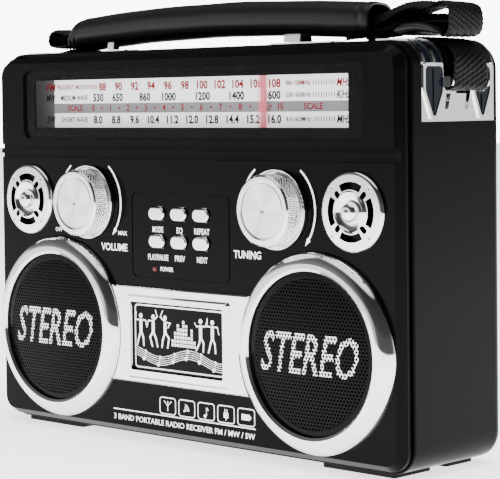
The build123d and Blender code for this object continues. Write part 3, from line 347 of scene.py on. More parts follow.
def piece(name, mesh, materials, body, smooth=False):
    """Adds a finished mesh to the scene, riding on a body."""
    obj = bpy.data.objects.new(name, mesh)
    for material in materials:
        mesh.materials.append(material)
    for polygon in mesh.polygons:
        polygon.use_smooth = smooth
    bpy.context.scene.collection.objects.link(obj)
    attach(obj, body)
    return obj


def mesh_of(name, verts, faces, tints=None):
    mesh = bpy.data.meshes.new(name)
    mesh.from_pydata([tuple(v) for v in verts], [], faces)
    if tints:
        mesh.polygons.foreach_set("material_index", tints)
    mesh.validate()
    return mesh


class Sheaf:
    """Flat shapes gathered into one mesh; each is a closed thin slab lying over the face."""

    def __init__(self):
        self.verts = []
        self.faces = []

    def slab(self, points, depth, thick=INK):
        """One convex or plain outline of (x, z) points, its front at a depth behind the face."""
        turn = sum(a[0] * b[1] - b[0] * a[1] for a, b in zip(points, points[1:] + points[:1]))
        if turn < 0:
            points = points[::-1]
        start = len(self.verts)
        count = len(points)
        for shift in (0.0, thick):
            self.verts += [at(x, z, -(depth + shift)) for x, z in points]
        self.faces.append(list(range(start, start + count)))
        self.faces.append([start + count + i for i in reversed(range(count))])
        for i in range(count):
            j = (i + 1) % count
            self.faces.append([start + j, start + i, start + count + i, start + count + j])

    def box(self, x0, x1, z0, z1, depth, thick=INK):
        self.slab([(x0, z0), (x1, z0), (x1, z1), (x0, z1)], depth, thick)

    def line(self, points, width, depth, closed=False):
        """Stroke of even width along (x, z) points, as one slab per run."""
        path = list(points) + ([points[0], points[1]] if closed else [])
        sides = []
        for i, here in enumerate(path):
            before = path[max(i - 1, 0)]
            after = path[min(i + 1, len(path) - 1)]
            run = Vector((after[0] - before[0], after[1] - before[1])).normalized()
            side = Vector((-run.y, run.x)) * width / 2
            sides.append(((here[0] + side.x, here[1] + side.y),
                          (here[0] - side.x, here[1] - side.y)))
        last = len(path) - (2 if closed else 1)
        for i in range(last):
            a, b = sides[i], sides[i + 1]
            self.slab([a[0], b[0], b[1], a[1]], depth)

    def words(self, text, x, z, height, depth, width=None, slant=0.0, bold=0.0):
        """Lettering centred at (x, z) with capitals of the given height."""
        verts, faces = lettering(text, height, width, slant, bold)
        start = len(self.verts)
        for shift in (0.0, INK):
            self.verts += [at(x + u, z + v, -(depth + shift)) for u, v in verts]
        count = len(verts)
        rims = {}
        for face in faces:
            self.faces.append([start + i for i in face])
            self.faces.append([start + count + i for i in reversed(face)])
            for a, b in zip(face, face[1:] + face[:1]):
                rims[(a, b)] = rims.get((a, b), 0) + 1
        for a, b in rims:
            if (b, a) not in rims:
                self.faces.append([start + b, start + a, start + count + a, start + count + b])

    def finish(self, name, material, slot_name, body="cabinet"):
        return piece(name, mesh_of(name, self.verts, self.faces), [material], body)


def lettering(text, height, width=None, slant=0.0, bold=0.0):
    """Flat letters as 2-D points and faces, in millimetres, centred on the origin."""
    curve = bpy.data.curves.new("letters", "FONT")
    curve.body = text
    curve.size = 1.0
    curve.offset = bold
    curve.resolution_u = 2
    holder = bpy.data.objects.new("letters", curve)
    bpy.context.scene.collection.objects.link(holder)
    bpy.context.view_layer.update()
    flat = holder.evaluated_get(bpy.context.evaluated_depsgraph_get()).to_mesh()
    points = [(v.co.x, v.co.y) for v in flat.vertices]
    faces = []
    for polygon in flat.polygons:
        corners = list(polygon.vertices)
        faces.append(corners if polygon.normal.z >= 0 else corners[::-1])
    holder.to_mesh_clear()
    bpy.data.objects.remove(holder)
    bpy.data.curves.remove(curve)
    low_x, high_x = min(p[0] for p in points), max(p[0] for p in points)
    grow = height / CAPITAL_HEIGHT
    wide = grow if width is None else width / (high_x - low_x)
    mid_x = (low_x + high_x) / 2
    moved = [((px - mid_x) * wide + slant * (py - CAPITAL_HEIGHT / 2) * grow,
              (py - CAPITAL_HEIGHT / 2) * grow) for px, py in points]
    return moved, faces


def lathe(profile, place, steps=128, wave=None):
    """Ring of (radius, depth) pairs turned about a front-to-back axis through place.

    The profile is a closed loop; wave(angle, radius, depth) gives an extra radius.
    """
    verts = []
    for k in range(steps):
        angle = 2 * math.pi * k / steps
        for radius, depth in profile:
            r = (radius + (wave(angle, radius, depth) if wave else 0.0)) * MM
            verts.append(Vector((place.x + r * math.cos(angle), FACE_Y + depth * MM,
                                 place.z + r * math.sin(angle))))
    count = len(profile)
    faces = []
    for k in range(steps):
        n = (k + 1) % steps
        for i in range(count):
            j = (i + 1) % count
            faces.append([k * count + i, k * count + j, n * count + j, n * count + i])
    return verts, faces


# ---- speakers ----
def inside_letters(text, height, width, slant, bold):
    """Test of whether an (x, z) point lies on the lettering."""
    points, faces = lettering(text, height, width, slant, bold)
    tree = BVHTree.FromPolygons([Vector((x, z, 0)) for x, z in points], faces)

    def test(x, z):
        return tree.ray_cast(Vector((x, z, 1)), Vector((0, 0, -1)))[0] is not None
    return test


GRILLE_PITCH = 1.72
GRILLE_HOLE = 0.36 * GRILLE_PITCH
GRILLE_SHEET = 0.5
# thickness of the plain CAD dome and the border kept free of holes
GRILLE_CAD_SHEET = 0.8
GRILLE_BORDER = 1.3


def grille(side):
    """Domed sheet with close six-sided holes; a word is printed on the webs."""
    node = "woofer_grille_" + side
    low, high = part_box(node)
    middle = (low + high) / 2
    radius = (high.x - low.x) / 2 / MM
    rise = (high.y - low.y) / MM - GRILLE_CAD_SHEET
    front = (low.y - FACE_Y) / MM
    pitch, hole, thick = GRILLE_PITCH, GRILLE_HOLE, GRILLE_SHEET
    printed = inside_letters("STEREO", 17.0, 54.0, 0.2, 0.013)

    def lift(x, z, back):
        spot = middle + Vector((x * MM, 0, z * MM))
        spot.y = FACE_Y + (front + rise * (x * x + z * z) / radius ** 2 + back) * MM
        return spot
    verts, faces, tints, shared = [], [], [], {}

    def corner(x, z):
        key = (round(x, 3), round(z, 3))
        if key not in shared:
            shared[key] = len(verts)
            verts.extend((lift(x, z, 0.0), lift(x, z, thick)))
        return shared[key]
    row_step = pitch * 0.866
    rows = int(radius / row_step) + 1
    reach = radius - GRILLE_BORDER
    for row in range(-rows, rows + 1):
        z = row * row_step
        for column in range(-rows - 2, rows + 3):
            x = (column + 0.5 * (row % 2)) * pitch
            if math.hypot(x, z) > reach - pitch / 2:
                continue
            outer, inner = [], []
            for k in range(6):
                angle = math.radians(60 * k + 30)
                far = pitch / math.sqrt(3)
                outer.append(corner(x + far * math.cos(angle), z + far * math.sin(angle)))
                start = len(verts)
                ux, uz = x + hole * math.cos(angle), z + hole * math.sin(angle)
                verts.extend((lift(ux, uz, 0.0), lift(ux, uz, thick)))
                inner.append(start)
            for k in range(6):
                n = (k + 1) % 6
                angle = math.radians(60 * k + 60)
                far = pitch * 0.42
                tint = int(printed(x + far * math.cos(angle), z + far * math.sin(angle)))
                a, b, c, d = outer[k], outer[n], inner[n], inner[k]
                faces += [[a, b, c, d], [d + 1, c + 1, b + 1, a + 1], [d, c, c + 1, d + 1]]
                tints += [tint, 0, 0]
    edge = radius - 0.1
    fall = front + rise
    # rim that covers the ends of the webs
    ring = [(reach - 1.6, fall - 0.22), (reach - 1.3, fall - 0.45), (edge - 0.2, fall - 0.2),
            (edge, fall), (edge, fall + 0.6), (reach - 1.6, fall + 0.5)]
    more, sides = lathe(ring, middle)
    start = len(verts)
    faces += [[start + i for i in face] for face in sides]
    tints += [0] * len(sides)
    verts += more
    obj = piece("perforated_" + node, mesh_of(node, verts, faces, tints),
                [MATERIALS["grille"], SILVER_INK], "cabinet")
    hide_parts(node)


# ---- knobs ----
BARREL_R = 15.05
KNURL_ROWS = 30
KNURL_TURNS = 25
KNURL_LEAN = 2.0
KNURL_HEIGHT = 0.55
KNURL_SUNK = 0.12
KNOB_STEPS = 300


def knurled_knob(side):
    """Skirt with a raised rim, diamond-knurled barrel and front rim."""
    node = side + "_knob"
    middle = centre(node)
    front = (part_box(node)[0].y - FACE_Y) / MM
    start, end = -2.5, front + 0.75
    knurl_rows = [(BARREL_R, start + (end - start) * i / KNURL_ROWS)
                  for i in range(KNURL_ROWS + 1)]

    def diamond(angle, radius, depth):
        if radius != BARREL_R or not end < depth < start:
            return 0.0
        lean = KNURL_LEAN * (depth - start)
        turns = KNURL_TURNS * angle
        crossing = abs(math.sin(turns + lean)) * abs(math.sin(turns - lean))
        return KNURL_HEIGHT * crossing - KNURL_SUNK
    profile = [(3.05, -0.4), (17.2, -0.4), (17.2, -2.0), (17.0, -2.25), (16.6, -2.25),
               (16.3, -1.9), (15.9, -1.1), (14.9, -1.0), (14.6, -2.2)]
    profile += knurl_rows
    profile += [(14.5, front + 0.15), (14.2, front), (12.6, front), (12.25, front + 0.15),
                (12.1, front + 1.0), (3.05, front + 1.0)]
    verts, faces = lathe(profile, middle, KNOB_STEPS, diamond)
    obj = piece("knurled_" + node, mesh_of(node, verts, faces), [MATERIALS["knob_chrome"]],
                side + "_control")
    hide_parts(node)


# ---- webbing ----
WEB_STEP = 0.42
WEB_ACROSS = 52
WEB_HALF_T = 0.62
WEB_COLUMN = 1.5
WEB_ROW = 2.3
WEB_GRAIN = 0.62
WEB_SUNK = 0.26
ROUNDING = 4


def rounded(points):
    """Corner-cut polyline that settles on a smooth curve inside its control points."""
    for _ in range(ROUNDING):
        cut = [points[0]]
        for a, b in zip(points, points[1:]):
            cut.append(a.lerp(b, 0.25))
            cut.append(a.lerp(b, 0.75))
        cut.append(points[-1])
        points = cut
    return points


def spaced(points):
    """The same line with points an even step apart."""
    out = [points[0]]
    left = WEB_STEP
    for a, b in zip(points, points[1:]):
        run = (b - a).length
        while run >= left:
            a = a.lerp(b, left / run)
            out.append(a.copy())
            run = (b - a).length
            left = WEB_STEP
        left -= run
    return out


def webbing(name, path, depths, seed, half_of=None, cup=None):
    """Woven strap along (x, z) points; depths are its two edges behind the face.

    half_of(share) scales the width along the strap, cup(share) lets its edges hang down.
    """
    dice = random.Random(seed)
    phases = [dice.uniform(0, 6.28) for _ in range(4)]
    line = spaced(rounded([Vector((x, z)) for x, z in path]))
    half = (depths[1] - depths[0]) / 2
    mid_depth = (depths[0] + depths[1]) / 2
    verts = []
    count = 2 * (WEB_ACROSS + 1)
    for i, here in enumerate(line):
        run = (line[min(i + 1, len(line) - 1)] - line[max(i - 1, 0)]).normalized()
        normal = Vector((-run.y, run.x))
        share = i / (len(line) - 1)
        travel = i * WEB_STEP
        size = half_of(share) if half_of else 1.0
        droop = cup(share) if cup else 0.0
        sway = (0.25 * math.sin(travel * 0.23 + phases[0])
                + 0.15 * math.sin(travel * 0.61 + phases[1]))
        for side in (1, -1):
            for j in range(WEB_ACROSS + 1):
                v = -1 + 2 * j / WEB_ACROSS
                if side < 0:
                    v = -v
                w = v * half * size
                column = w / WEB_COLUMN
                shift = 0.5 if math.floor(column) % 2 else 0.0
                grain = abs(math.sin(math.pi * (travel / WEB_ROW + shift + 0.18 * column)))
                groove = abs(math.sin(math.pi * column))
                knit = WEB_GRAIN * (grain ** 0.8) * (groove ** 0.6) - WEB_SUNK
                slim = 1 - 0.75 * abs(v) ** 10
                rumple = 0.3 * math.sin(travel * 0.31 + 2.2 * v + phases[2]) * abs(v)
                edge = 0.18 * math.sin(travel * 2.7 + phases[3]) * (abs(v) ** 14)
                offset = side * (WEB_HALF_T + knit) * slim + rumple
                spot = here + normal * offset - Vector((0, droop * abs(v) ** 1.8))
                y = mid_depth + w * (1 - 0.02 * droop) + edge + sway * 0.6
                verts.append(at(spot.x, spot.y, -y))
    faces = []
    for i in range(len(line) - 1):
        for j in range(count):
            n = (j + 1) % count
            faces.append([i * count + j, i * count + n, (i + 1) * count + n,
                          (i + 1) * count + j])
    faces.append(list(range(count))[::-1])
    faces.append([(len(line) - 1) * count + j for j in range(count)])
    mesh = mesh_of(name, verts, faces)
    return piece(name, mesh, [MATERIALS["webbing"]], "cabinet", smooth=True)


def straps():
    """Loops round the bars, the fold over the slider and the short fold at the left."""
    loop_low, loop_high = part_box("strap_bars")
    loop = ((loop_low.y - FACE_Y) / MM + 0.5, (loop_high.y - FACE_Y) / MM - 0.5)
    fold = (26.2, 48.6)
    bar_x = (loop_high.x / MM) - 1.4
    bar_z = (loop_high.z - CASE_BASE) / MM - 1.4
    reach = 2.35

    def loop_path(sign, tail):
        path = [(106.0, 176.5), (119.0, 176.4), (125.6, 175.2), (bar_x - reach, 170.0),
                (bar_x - reach, bar_z), (bar_x - reach, bar_z - 2.9), (bar_x + reach, bar_z - 2.9),
                (bar_x + reach, bar_z), (bar_x + reach + 0.3, 169.0), (bar_x, 174.4),
                (124.5, 177.6), tail]
        return [(sign * x, z) for x, z in path]
    right = webbing("strap_loop_right", loop_path(1, (112.0, 178.3)), loop, 3)
    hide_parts("handle_strap_right")
    left = webbing("strap_loop_left", loop_path(-1, (107.0, 179.2)), loop, 4)
    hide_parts("handle_strap_left")
    webbing("strap_fold_right",
            [(74.0, 187.4), (88.0, 189.0), (97.0, 192.0), (106.0, 193.8), (115.0, 193.6),
             (121.0, 191.8), (129.0, 193.2), (132.8, 190.2), (132.6, 181.8), (130.8, 179.4),
             (127.0, 179.6)], fold, 5,
            half_of=lambda s: 0.84 + 0.16 * min(1.0, max(0.0, (s - 0.15) / 0.25)),
            cup=lambda s: 7.5 * max(0.0, 1 - max(0.0, s - 0.12) / 0.58) ** 0.9)
    webbing("strap_under_right",
            [(74.0, 182.6), (88.0, 183.4), (98.0, 185.0), (106.0, 185.2), (112.5, 184.0)],
            (26.6, 48.4), 6, half_of=lambda s: 0.84 + 0.12 * s,
            cup=lambda s: 4.2 - 2.6 * s)
    webbing("strap_middle_right",
            [(74.0, 185.4), (90.0, 186.4), (104.0, 188.4), (118.0, 188.0), (130.6, 187.4)],
            (26.6, 48.2), 8, half_of=lambda s: 0.86 + 0.1 * s, cup=lambda s: 5.2 - 2.6 * s)
    webbing("strap_fold_left",
            [(-92.0, 187.2), (-104.0, 187.6), (-112.0, 189.2), (-119.4, 188.9), (-121.6, 184.8),
             (-120.0, 181.4), (-114.0, 181.0), (-106.0, 182.4)], fold, 7,
            half_of=lambda s: 0.9, cup=lambda s: 3.0 * max(0.0, 1 - s / 0.5))


def grip():
    """Padded leatherette tube: fuller on top, stitched welts at its ends, open at the right."""
    low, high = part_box("handle_grip")
    mid_y = (low.y + high.y) / 2
    half_y = (high.y - low.y) / 2 / MM
    half_z = 8.0
    left_x, right_x = low.x / MM + 0.6, high.x / MM - 0.4
    top_z = (high.z - CASE_BASE) / MM - half_z
    end_z = (low.z - CASE_BASE) / MM + half_z
    mid_x = (left_x + right_x) / 2
    span = right_x - left_x
    around = 96
    dice = random.Random(11)
    waves = [(dice.uniform(0.02, 0.12), dice.uniform(0, 6.28), dice.randint(1, 3))
             for _ in range(6)]
    steps = 260
    verts = []

    def swell(x):
        """Scale of the section near the ends: closed and rounded left, a lipped mouth right."""
        near_left = x - left_x
        near_right = right_x - x
        size = 1.0
        if near_left < 3.0:
            size *= 0.80 + 0.20 * math.sqrt(max(0.0, 1 - (1 - near_left / 3.0) ** 2))
        for edge, place, wide, tall in (
                (near_left, 3.9, 0.9, -0.035), (near_left, 5.2, 0.8, 0.03),
                (near_left, 6.6, 0.6, -0.025), (near_right, 5.0, 0.8, -0.04),
                (near_right, 2.2, 1.8, 0.035)):
            size += tall * math.exp(-((edge - place) / wide) ** 2)
        return size

    def ring(x, size):
        middle = top_z - (top_z - end_z) * ((x - mid_x) / (span / 2)) ** 2
        slant = 4.6 * max(0.0, 1 - (x - left_x) / 34.0)
        points = []
        for k in range(around):
            angle = 2 * math.pi * k / around
            c, s = math.cos(angle), math.sin(angle)
            power = 2 / 2.7
            u = math.copysign(abs(c) ** power, c) * half_y * size
            v = math.copysign(abs(s) ** power, s) * half_z * size
            if v < 0:
                v *= 0.97
            soft = sum(a * math.sin(b + n * angle + x * 0.045 * (n + 1)) for a, b, n in waves)
            u += soft * c
            v += soft * s * 0.8
            bias = -0.34 * u * max(0.0, 1 - (right_x - x) / 40.0)
            points.append(Vector(((x + slant * v / half_z + bias) * MM, mid_y + u * MM,
                                  CASE_BASE + (middle + v) * MM)))
        return points
    for i in range(steps + 1):
        x = left_x + span * i / steps
        verts += ring(x, swell(x))
    rings = steps + 1
    # the mouth turns in and runs back inside the tube
    for inset, size in ((0.0, 0.96), (0.0, 0.90), (0.8, 0.87), (5.0, 0.86), (16.0, 0.85)):
        verts += ring(right_x - inset, swell(right_x - inset) * size)
        rings += 1
    faces = []
    for i in range(rings - 1):
        for k in range(around):
            n = (k + 1) % around
            faces.append([i * around + k, i * around + n, (i + 1) * around + n,
                          (i + 1) * around + k])
    faces.append(list(range(around))[::-1])
    faces.append([(rings - 1) * around + k for k in range(around)])
    obj = piece("padded_grip", mesh_of("padded_grip", verts, faces), [MATERIALS["leatherette"]],
                "cabinet", smooth=True)
    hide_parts("handle_grip")


def slider():
    """Slider buckle: a bowed plate, thicker at its left end, with rounded edges."""
    low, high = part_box("strap_buckle")
    left, right = low.x / MM, high.x / MM
    half_y = (high.y - low.y) / 2 / MM
    mid_y = (low.y + high.y) / 2
    left_z = (high.z - CASE_BASE) / MM - 1.9
    right_z = (low.z - CASE_BASE) / MM + 1.5
    verts, faces = [], []
    around, steps = 64, 40
    for i in range(steps + 1):
        share = i / steps
        x = left + (right - left) * share
        bow = 1.6 * math.sin(math.pi * share)
        mid_z = left_z + (right_z - left_z) * share + bow
        end = math.sqrt(max(0.02, 1 - abs(2 * share - 1) ** 6))
        thick = (2.7 - 1.2 * share) * end
        for k in range(around):
            angle = 2 * math.pi * k / around
            c, s = math.cos(angle), math.sin(angle)
            u = math.copysign(abs(c) ** 0.25, c) * (half_y - 0.4)
            v = math.copysign(abs(s) ** 0.8, s) * thick
            verts.append(Vector((x * MM, mid_y + u * MM, CASE_BASE + (mid_z + v) * MM)))
    for i in range(steps):
        for k in range(around):
            n = (k + 1) % around
            faces.append([i * around + k, i * around + n, (i + 1) * around + n,
                          (i + 1) * around + k])
    faces.append(list(range(around))[::-1])
    faces.append([steps * around + k for k in range(around)])
    obj = piece("slider_plate", mesh_of("slider_plate", verts, faces), [MATERIALS["buckle"]],
                "cabinet", smooth=True)
    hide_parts("strap_buckle")


# ---- dial ----
FM_X = (-60.5, 51.0)
SW_X = (-64.0, 50.8)
LOG_X = (-67.3, 54.4)
MW_MARKS = ((530, -63.6), (650, -50.0), (860, -31.4), (1000, -15.3), (1200, 6.7), (1400, 28.0),
            (1600, 49.8))
ROW_Z = {"fm": 160.9, "mw": 155.8, "log": 150.9, "sw": 145.4}
SW_MARKS = ("8.0", "8.8", "9.6", "10.4", "11.2", "12.0", "12.8", "14.4", "15.2", "16.0")


def spread(ends, count):
    return [ends[0] + (ends[1] - ends[0]) * i / (count - 1) for i in range(count)]


def dial():
    """Printed scale: white field, grey band for the log row, three wavebands, and a strip of painted
    shade at its left end.
    """
    plate_front = (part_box("dial_scale_plate")[0].y - FACE_Y) / MM
    field = plate_front - 0.05
    ink = plate_front - 0.1
    white, grey, red, black = Sheaf(), Sheaf(), Sheaf(), Sheaf()
    white.box(-95.5, 110.0, 153.1, 166.0, field)
    white.box(-95.5, 110.0, 139.0, 148.5, field)
    grey.box(-95.6, 110.0, 148.55, 153.05, field)
    # painted shade: dark strip where the window's side wall shades and darkens the scale
    painted_shade = Sheaf()
    painted_shade.box(-111.8, -95.65, 139.0, 166.0, field)
    painted_shade.finish("dial_painted_shade", DIAL_PAINTED_SHADE, "scale")
    for i, x in enumerate(spread(FM_X, 11)):
        red.words(str(88 + 2 * i), x, ROW_Z["fm"], 3.6, ink, bold=0.034)
    for value, x in MW_MARKS:
        black.words(str(value), x, ROW_Z["mw"], 3.5, ink, bold=0.034)
    for i, x in enumerate(spread(LOG_X, 11)):
        red.words(str(i), x, ROW_Z["log"], 2.9, ink, bold=0.02)
        if i < 10:
            red.box(x + 5.6, x + 6.6, ROW_Z["log"] - 0.5, ROW_Z["log"] + 0.5, ink)
    for text, x in zip(SW_MARKS, spread(SW_X, 10)):
        black.words(text, x, ROW_Z["sw"], 3.5, ink, bold=0.034)
    red.words("FREQUENCY MODULATION", -79.1, ROW_Z["fm"], 2.2, ink, 29.0, bold=0.022)
    black.words("MEDIUM WAVE", -81.0, ROW_Z["mw"], 2.4, ink, 19.6, bold=0.022)
    red.words("SCALE", -80.3, ROW_Z["log"], 2.7, ink, 10.9, bold=0.022)
    red.words("SCALE", 73.2, ROW_Z["log"], 2.7, ink, 10.9, bold=0.022)
    black.words("SHORT WAVE", -80.9, ROW_Z["sw"], 2.4, ink, 19.0, bold=0.022)
    for sheaf, row, text, unit in ((red, "fm", "88-108MHz", "MHz"),
                                   (black, "mw", "530-1600KHz", "KHz"),
                                   (black, "sw", "8.0-16.0MHz", "MHz")):
        z = ROW_Z[row]
        sheaf.words(text, 64.7, z, 2.1, ink, 14.4, bold=0.02)
        for x in spread((73.6, 85.2), 9):
            sheaf.box(x - 0.22, x + 0.22, z - 1.1, z + 1.1, ink)
        sheaf.words(unit, 90.6, z, 3.4, ink, 7.6, slant=0.2, bold=0.02)
    for row, text in (("fm", "FM"), ("mw", "MW"), ("sw", "SW")):
        sheaf = red if row == "fm" else black
        sheaf.words(text, -98.0, ROW_Z[row], 3.4, ink, 6.4, slant=0.2, bold=0.02)
    white.finish("dial_field", DIAL_WHITE, "scale")
    grey.finish("dial_band", DIAL_GREY, "scale")
    red.finish("dial_print_red", RED_INK, "scale")
    black.finish("dial_print_black", BLACK_INK, "scale")


def pointer_flag():
    """Wider tinted strip that makes the pointer show as a soft band over the scale."""
    low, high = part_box("dial_pointer")
    x = (low.x + high.x) / 2 / MM
    flag = Sheaf()
    flag.box(x - 2.6, x + 2.6, 139.8, 170.6, (low.y - FACE_Y) / MM - 0.35, 0.3)
    flag.finish("pointer_flag", TINTED, "pointer", body="pointer")


def rounded_corners(x_half, z_pair, radius, steps=8):
    points = []
    for cx, cz, start in ((x_half - radius, z_pair[1] - radius, 0),
                          (-x_half + radius, z_pair[1] - radius, 90),
                          (-x_half + radius, z_pair[0] + radius, 180),
                          (x_half - radius, z_pair[0] + radius, 270)):
        for i in range(steps + 1):
            angle = math.radians(start + 90 * i / steps)
            points.append((cx + radius * math.cos(angle), cz + radius * math.sin(angle)))
    return points


def lens_border():
    """Black print just inside the lens's back, from its outline to the clear window."""
    x_half = LENS_HIGH.x / MM - 0.15
    z_pair = ((LENS_LOW.z - CASE_BASE) / MM + 0.15, (LENS_HIGH.z - CASE_BASE) / MM - 0.15)
    outer = rounded_corners(x_half, z_pair, 3.8)
    inner = [(x - 1.3, z) for x, z in rounded_corners(100.8, (141.8, 164.2), 0.4)]
    back = (LENS_HIGH.y - FACE_Y) / MM
    border = Sheaf()
    count = len(outer)
    for i in range(count):
        j = (i + 1) % count
        border.slab([outer[i], outer[j], inner[j], inner[i]], back - 0.1, 0.05)
    border.finish("lens_border", MATERIALS["display"], "display")


# ---- printing on the face ----
ARROW = 2.3
ARC_R = 21.4
ARC_W = 0.9
# ends of the arcs round a knob, degrees
ARC_RIGHT = (52, -38)
ARC_LEFT = (128, 218)


def arc(x, z, radius, start, end, steps=28):
    points = []
    for i in range(steps + 1):
        angle = math.radians(start + (end - start) * i / steps)
        points.append((x + radius * math.cos(angle), z + radius * math.sin(angle)))
    return points


def arrow(sheaf, tip, lean, proud):
    """Triangle whose point looks along the angle lean, in degrees."""
    points = []
    for turn, far in ((0, ARROW), (140, ARROW * 0.8), (220, ARROW * 0.8)):
        angle = math.radians(lean + turn)
        points.append((tip[0] + far * math.cos(angle), tip[1] + far * math.sin(angle)))
    sheaf.slab(points, proud)


def face_print():
    """White marks on the face: names, arcs round the knobs, key names, the lower line and icons."""
    ink = -INK
    sheaf = Sheaf()
    sheaf.words("VOLUME", -43.8, 86.6, 3.3, ink, 18.0, bold=0.02)
    sheaf.words("MAX", -37.9, 93.2, 1.9, ink, 6.0, bold=0.015)
    sheaf.words("OFF", -82.9, 93.4, 1.9, ink, 5.2, bold=0.015)
    sheaf.words("TUNING", 42.0, 86.9, 3.3, ink, 16.4, bold=0.02)
    for node in ("volume_knob", "tuning_knob"):
        place = centre(node)
        x, z = place.x / MM, (place.z - CASE_BASE) / MM
        right = arc(x, z, ARC_R, *ARC_RIGHT)
        left = arc(x, z, ARC_R, *ARC_LEFT)
        sheaf.line(right, ARC_W, ink)
        sheaf.line(left, ARC_W, ink)
        arrow(sheaf, right[-1], ARC_RIGHT[1] - 90, ink)
        if node == "tuning_knob":
            arrow(sheaf, left[-1], ARC_LEFT[1] + 90, ink)
    for node, text, wide in (("mode", "MODE", 7.0), ("eq", "EQ", 3.8), ("repeat", "REPEAT", 9.6),
                             ("play", "PLAY/PAUSE", 13.2), ("previous", "PREV", 6.4),
                             ("next", "NEXT", 6.6)):
        place = centre("key_" + node)
        sheaf.words(text, place.x / MM, (place.z - CASE_BASE) / MM - 7.2, 2.6, ink, wide, bold=0.016)
    sheaf.words("POWER", -8.6, 78.0, 1.9, ink, 8.4, bold=0.022)
    sheaf.box(-45.8, 45.8, 11.2, 11.75, ink)
    sheaf.words("3 BAND PORTABLE RADIO RECEIVER FM / MW / SW", 0.0, 8.1, 2.5, ink, 91.0, bold=0.014)
    icons(sheaf, ink)
    sheaf.finish("face_print", WHITE_INK, "scale")


def icons(sheaf, ink):
    """Five small pictograms in rounded frames: aerial, waves, note, plug and battery."""
    pitch = 12.35
    for index in range(5):
        x = -9.2 + pitch * index
        z = 16.1
        outline = [(x + u, z + v) for u, v in rounded_corners(5.1, (-3.7, 3.7), 1.4, 4)]
        sheaf.line(outline, 0.5, ink, closed=True)
        if index == 0:
            sheaf.line([(x, z - 2.4), (x, z + 2.2)], 0.5, ink)
            sheaf.line([(x - 2.4, z + 2.2), (x, z), (x + 2.4, z + 2.2)], 0.5, ink)
        elif index == 1:
            for radius in (1.0, 2.0, 3.0):
                sheaf.line(arc(x - 1.6, z - 1.2, radius, 0, 80, 8), 0.45, ink)
            sheaf.slab(arc(x - 1.6, z - 1.2, 0.5, 0, 330, 8), ink)
        elif index == 2:
            note(sheaf, x, z - 0.4, 2.4, ink)
        elif index == 3:
            sheaf.box(x - 1.4, x + 1.4, z - 1.6, z + 0.8, ink)
            sheaf.box(x - 0.9, x - 0.4, z + 0.8, z + 2.3, ink)
            sheaf.box(x + 0.4, x + 0.9, z + 0.8, z + 2.3, ink)
            sheaf.box(x - 0.25, x + 0.25, z - 2.6, z - 1.6, ink)
        else:
            sheaf.box(x - 2.8, x + 2.2, z - 1.3, z + 1.3, ink)
            sheaf.box(x + 2.3, x + 2.9, z - 0.6, z + 0.6, ink)


def note(sheaf, x, z, size, ink):
    """Quaver: tilted head, stem and flag."""
    head = [(x - 0.3 * size + u, z - 0.7 * size + v) for u, v in arc(0, 0, 0.36 * size, 0, 330, 9)]
    sheaf.slab(head, ink)
    sheaf.box(x, x + 0.14 * size, z - 0.7 * size, z + 0.9 * size, ink)
    sheaf.line([(x + 0.07 * size, z + 0.85 * size), (x + 0.6 * size, z + 0.4 * size)],
               0.28 * size, ink)


# ---- centre window ----
def capsule(sheaf, a, b, wide, ink):
    """Limb with round ends."""
    steps = 5
    lean = math.degrees(math.atan2(b[1] - a[1], b[0] - a[0]))
    outline = arc(b[0], b[1], wide / 2, lean - 90, lean + 90, steps)
    outline += arc(a[0], a[1], wide / 2, lean + 90, lean + 270, steps)
    sheaf.slab(outline, ink)


# joints of four plain pictogram dancers, in units of body height about the hip:
# hand, elbow, elbow, hand, then knee and foot of each leg
POSES = (
    ((-0.20, 0.52), (-0.22, 0.30), (0.20, 0.30), (0.26, 0.10), (-0.08, -0.20), (-0.16, -0.44),
     (0.10, -0.20), (0.12, -0.44)),
    ((-0.26, 0.14), (-0.20, 0.30), (0.18, 0.44), (0.10, 0.62), (-0.14, -0.18), (-0.04, -0.44),
     (0.12, -0.22), (0.18, -0.44)),
    ((-0.10, 0.62), (-0.20, 0.44), (0.22, 0.28), (0.12, 0.14), (-0.10, -0.22), (-0.14, -0.44),
     (0.16, -0.16), (0.10, -0.44)),
    ((-0.24, 0.36), (-0.16, 0.26), (0.18, 0.28), (0.28, 0.46), (-0.06, -0.22), (-0.18, -0.42),
     (0.12, -0.20), (0.10, -0.44)),
)


def dancer(sheaf, x, z, tall, pose, ink):
    """Plain pictogram figure: round head, capsule body and limbs."""
    left_hand, left_elbow, right_elbow, right_hand, knee_a, foot_a, knee_b, foot_b = pose

    def put(point):
        return (x + point[0] * tall, z + point[1] * tall)
    hip, neck = (0.0, 0.0), (0.0, 0.30)
    sheaf.slab(arc(*put((0.0, 0.42)), 0.075 * tall, 0, 340, 12), ink)
    capsule(sheaf, put(hip), put((0.0, 0.24)), 0.12 * tall, ink)
    for start, mid, end in ((neck, left_elbow, left_hand), (neck, right_elbow, right_hand),
                            (hip, knee_a, foot_a), (hip, knee_b, foot_b)):
        wide = 0.042 * tall if start is neck else 0.066 * tall
        capsule(sheaf, put(start), put(mid), wide, ink)
        capsule(sheaf, put(mid), put(end), wide * 0.85, ink)


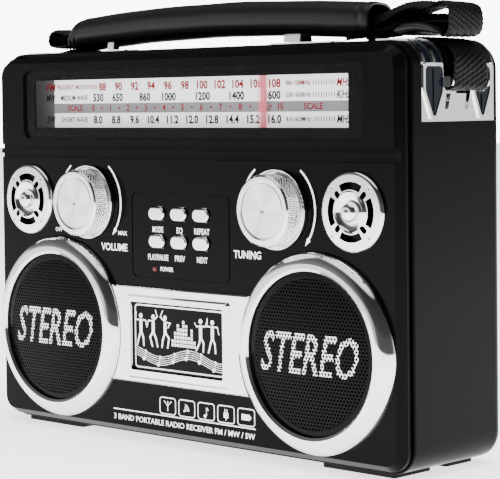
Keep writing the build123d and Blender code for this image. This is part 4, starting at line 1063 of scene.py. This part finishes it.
def window_art():
    """White pictures on the dark window: dancers, level bars and a wavy staff with notes."""
    ink = (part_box("display_window")[0].y - FACE_Y) / MM - INK
    sheaf = Sheaf()
    for x, pose in zip((-24.6, -16.4, -8.6, 14.2, 21.6), POSES + POSES[:1]):
        dancer(sheaf, x, 49.6, 15.5, pose, ink)
    for column, level in enumerate((2, 4, 6, 5, 7, 6, 3, 5, 2)):
        for block in range(level):
            x = -4.4 + column * 1.75
            z = 43.8 + block * 1.75
            sheaf.box(x, x + 1.35, z, z + 1.3, ink)
    border = [(u, v) for u, v in rounded_corners(28.3, (32.7, 61.1), 1.6)]
    sheaf.line(border, 0.7, ink, closed=True)
    for row in range(5):
        wave = []
        for i in range(45):
            x = -27.6 + 55.2 * i / 44
            wave.append((x, 36.6 + row * 0.95 + 2.1 * math.sin(x * 0.16 + 0.4)))
        sheaf.line(wave, 0.26, ink)
    for x in (-22.0, -12.5, -3.0, 5.5, 14.0, 23.0):
        note(sheaf, x, 38.6 + 2.1 * math.sin(x * 0.16 + 0.4), 2.6, ink - INK)
    sheaf.finish("window_art", WHITE_INK, "display")


# ---- corner caps ----
CAP_RADIUS = 12.0
CAP_SIDE_X = 129.2
CAP_TOP_Z = 177.4
# depths of the hollows between the ribs
CAP_GAPS = ((14.9, 18.9), (21.7, 25.7), (55.4, 57.8))


def cap_grooves():
    """Black bands laid in the hollows between the chrome ribs over the corners: painted shade, the
    dark the hollows show in the chrome.
    """
    radius, side_x, top_z = CAP_RADIUS, CAP_SIDE_X, CAP_TOP_Z
    verts, faces = [], []
    for sign in (-1, 1):
        for gap in CAP_GAPS:
            path = [(side_x - radius - 7.0, top_z)]
            path += [(side_x - radius + radius * math.sin(math.radians(a)),
                      top_z - radius + radius * math.cos(math.radians(a)))
                     for a in range(0, 84, 6)]
            start = len(verts)
            for x, z in path:
                out = Vector((x - (side_x - radius), 0, z - (top_z - radius)))
                out = Vector((0, 0, 1)) if x <= side_x - radius else out.normalized()
                for lift in (0.12, -0.25):
                    for depth in gap:
                        spot = Vector((x, 0, z)) + out * lift
                        verts.append(at(sign * spot.x, spot.z, -depth))
            for i in range(len(path) - 1):
                a = start + 4 * i
                b = a + 4
                faces += [[a, a + 1, b + 1, b], [a + 2, b + 2, b + 3, a + 3],
                          [a, b, b + 2, a + 2], [a + 1, a + 3, b + 3, b + 1]]
            faces += [[start, start + 2, start + 3, start + 1],
                      [len(verts) - 4, len(verts) - 3, len(verts) - 1, len(verts) - 2]]
    mesh = mesh_of("cap_grooves", verts, faces)
    skin = bmesh.new()
    skin.from_mesh(mesh)
    bmesh.ops.recalc_face_normals(skin, faces=skin.faces)
    skin.to_mesh(mesh)
    skin.free()
    # the black inlay material here is painted shade in the hollows of the chrome caps
    piece("cap_grooves", mesh, [MATERIALS["inlay"]], "cabinet")


make_camera()
make_studio()
dress_nodes()
for hand in ("left", "right"):
    grille(hand)
for control in ("volume", "tuning"):
    knurled_knob(control)
straps()
grip()
slider()
dial()
pointer_flag()
lens_border()
face_print()
window_art()
cap_grooves()
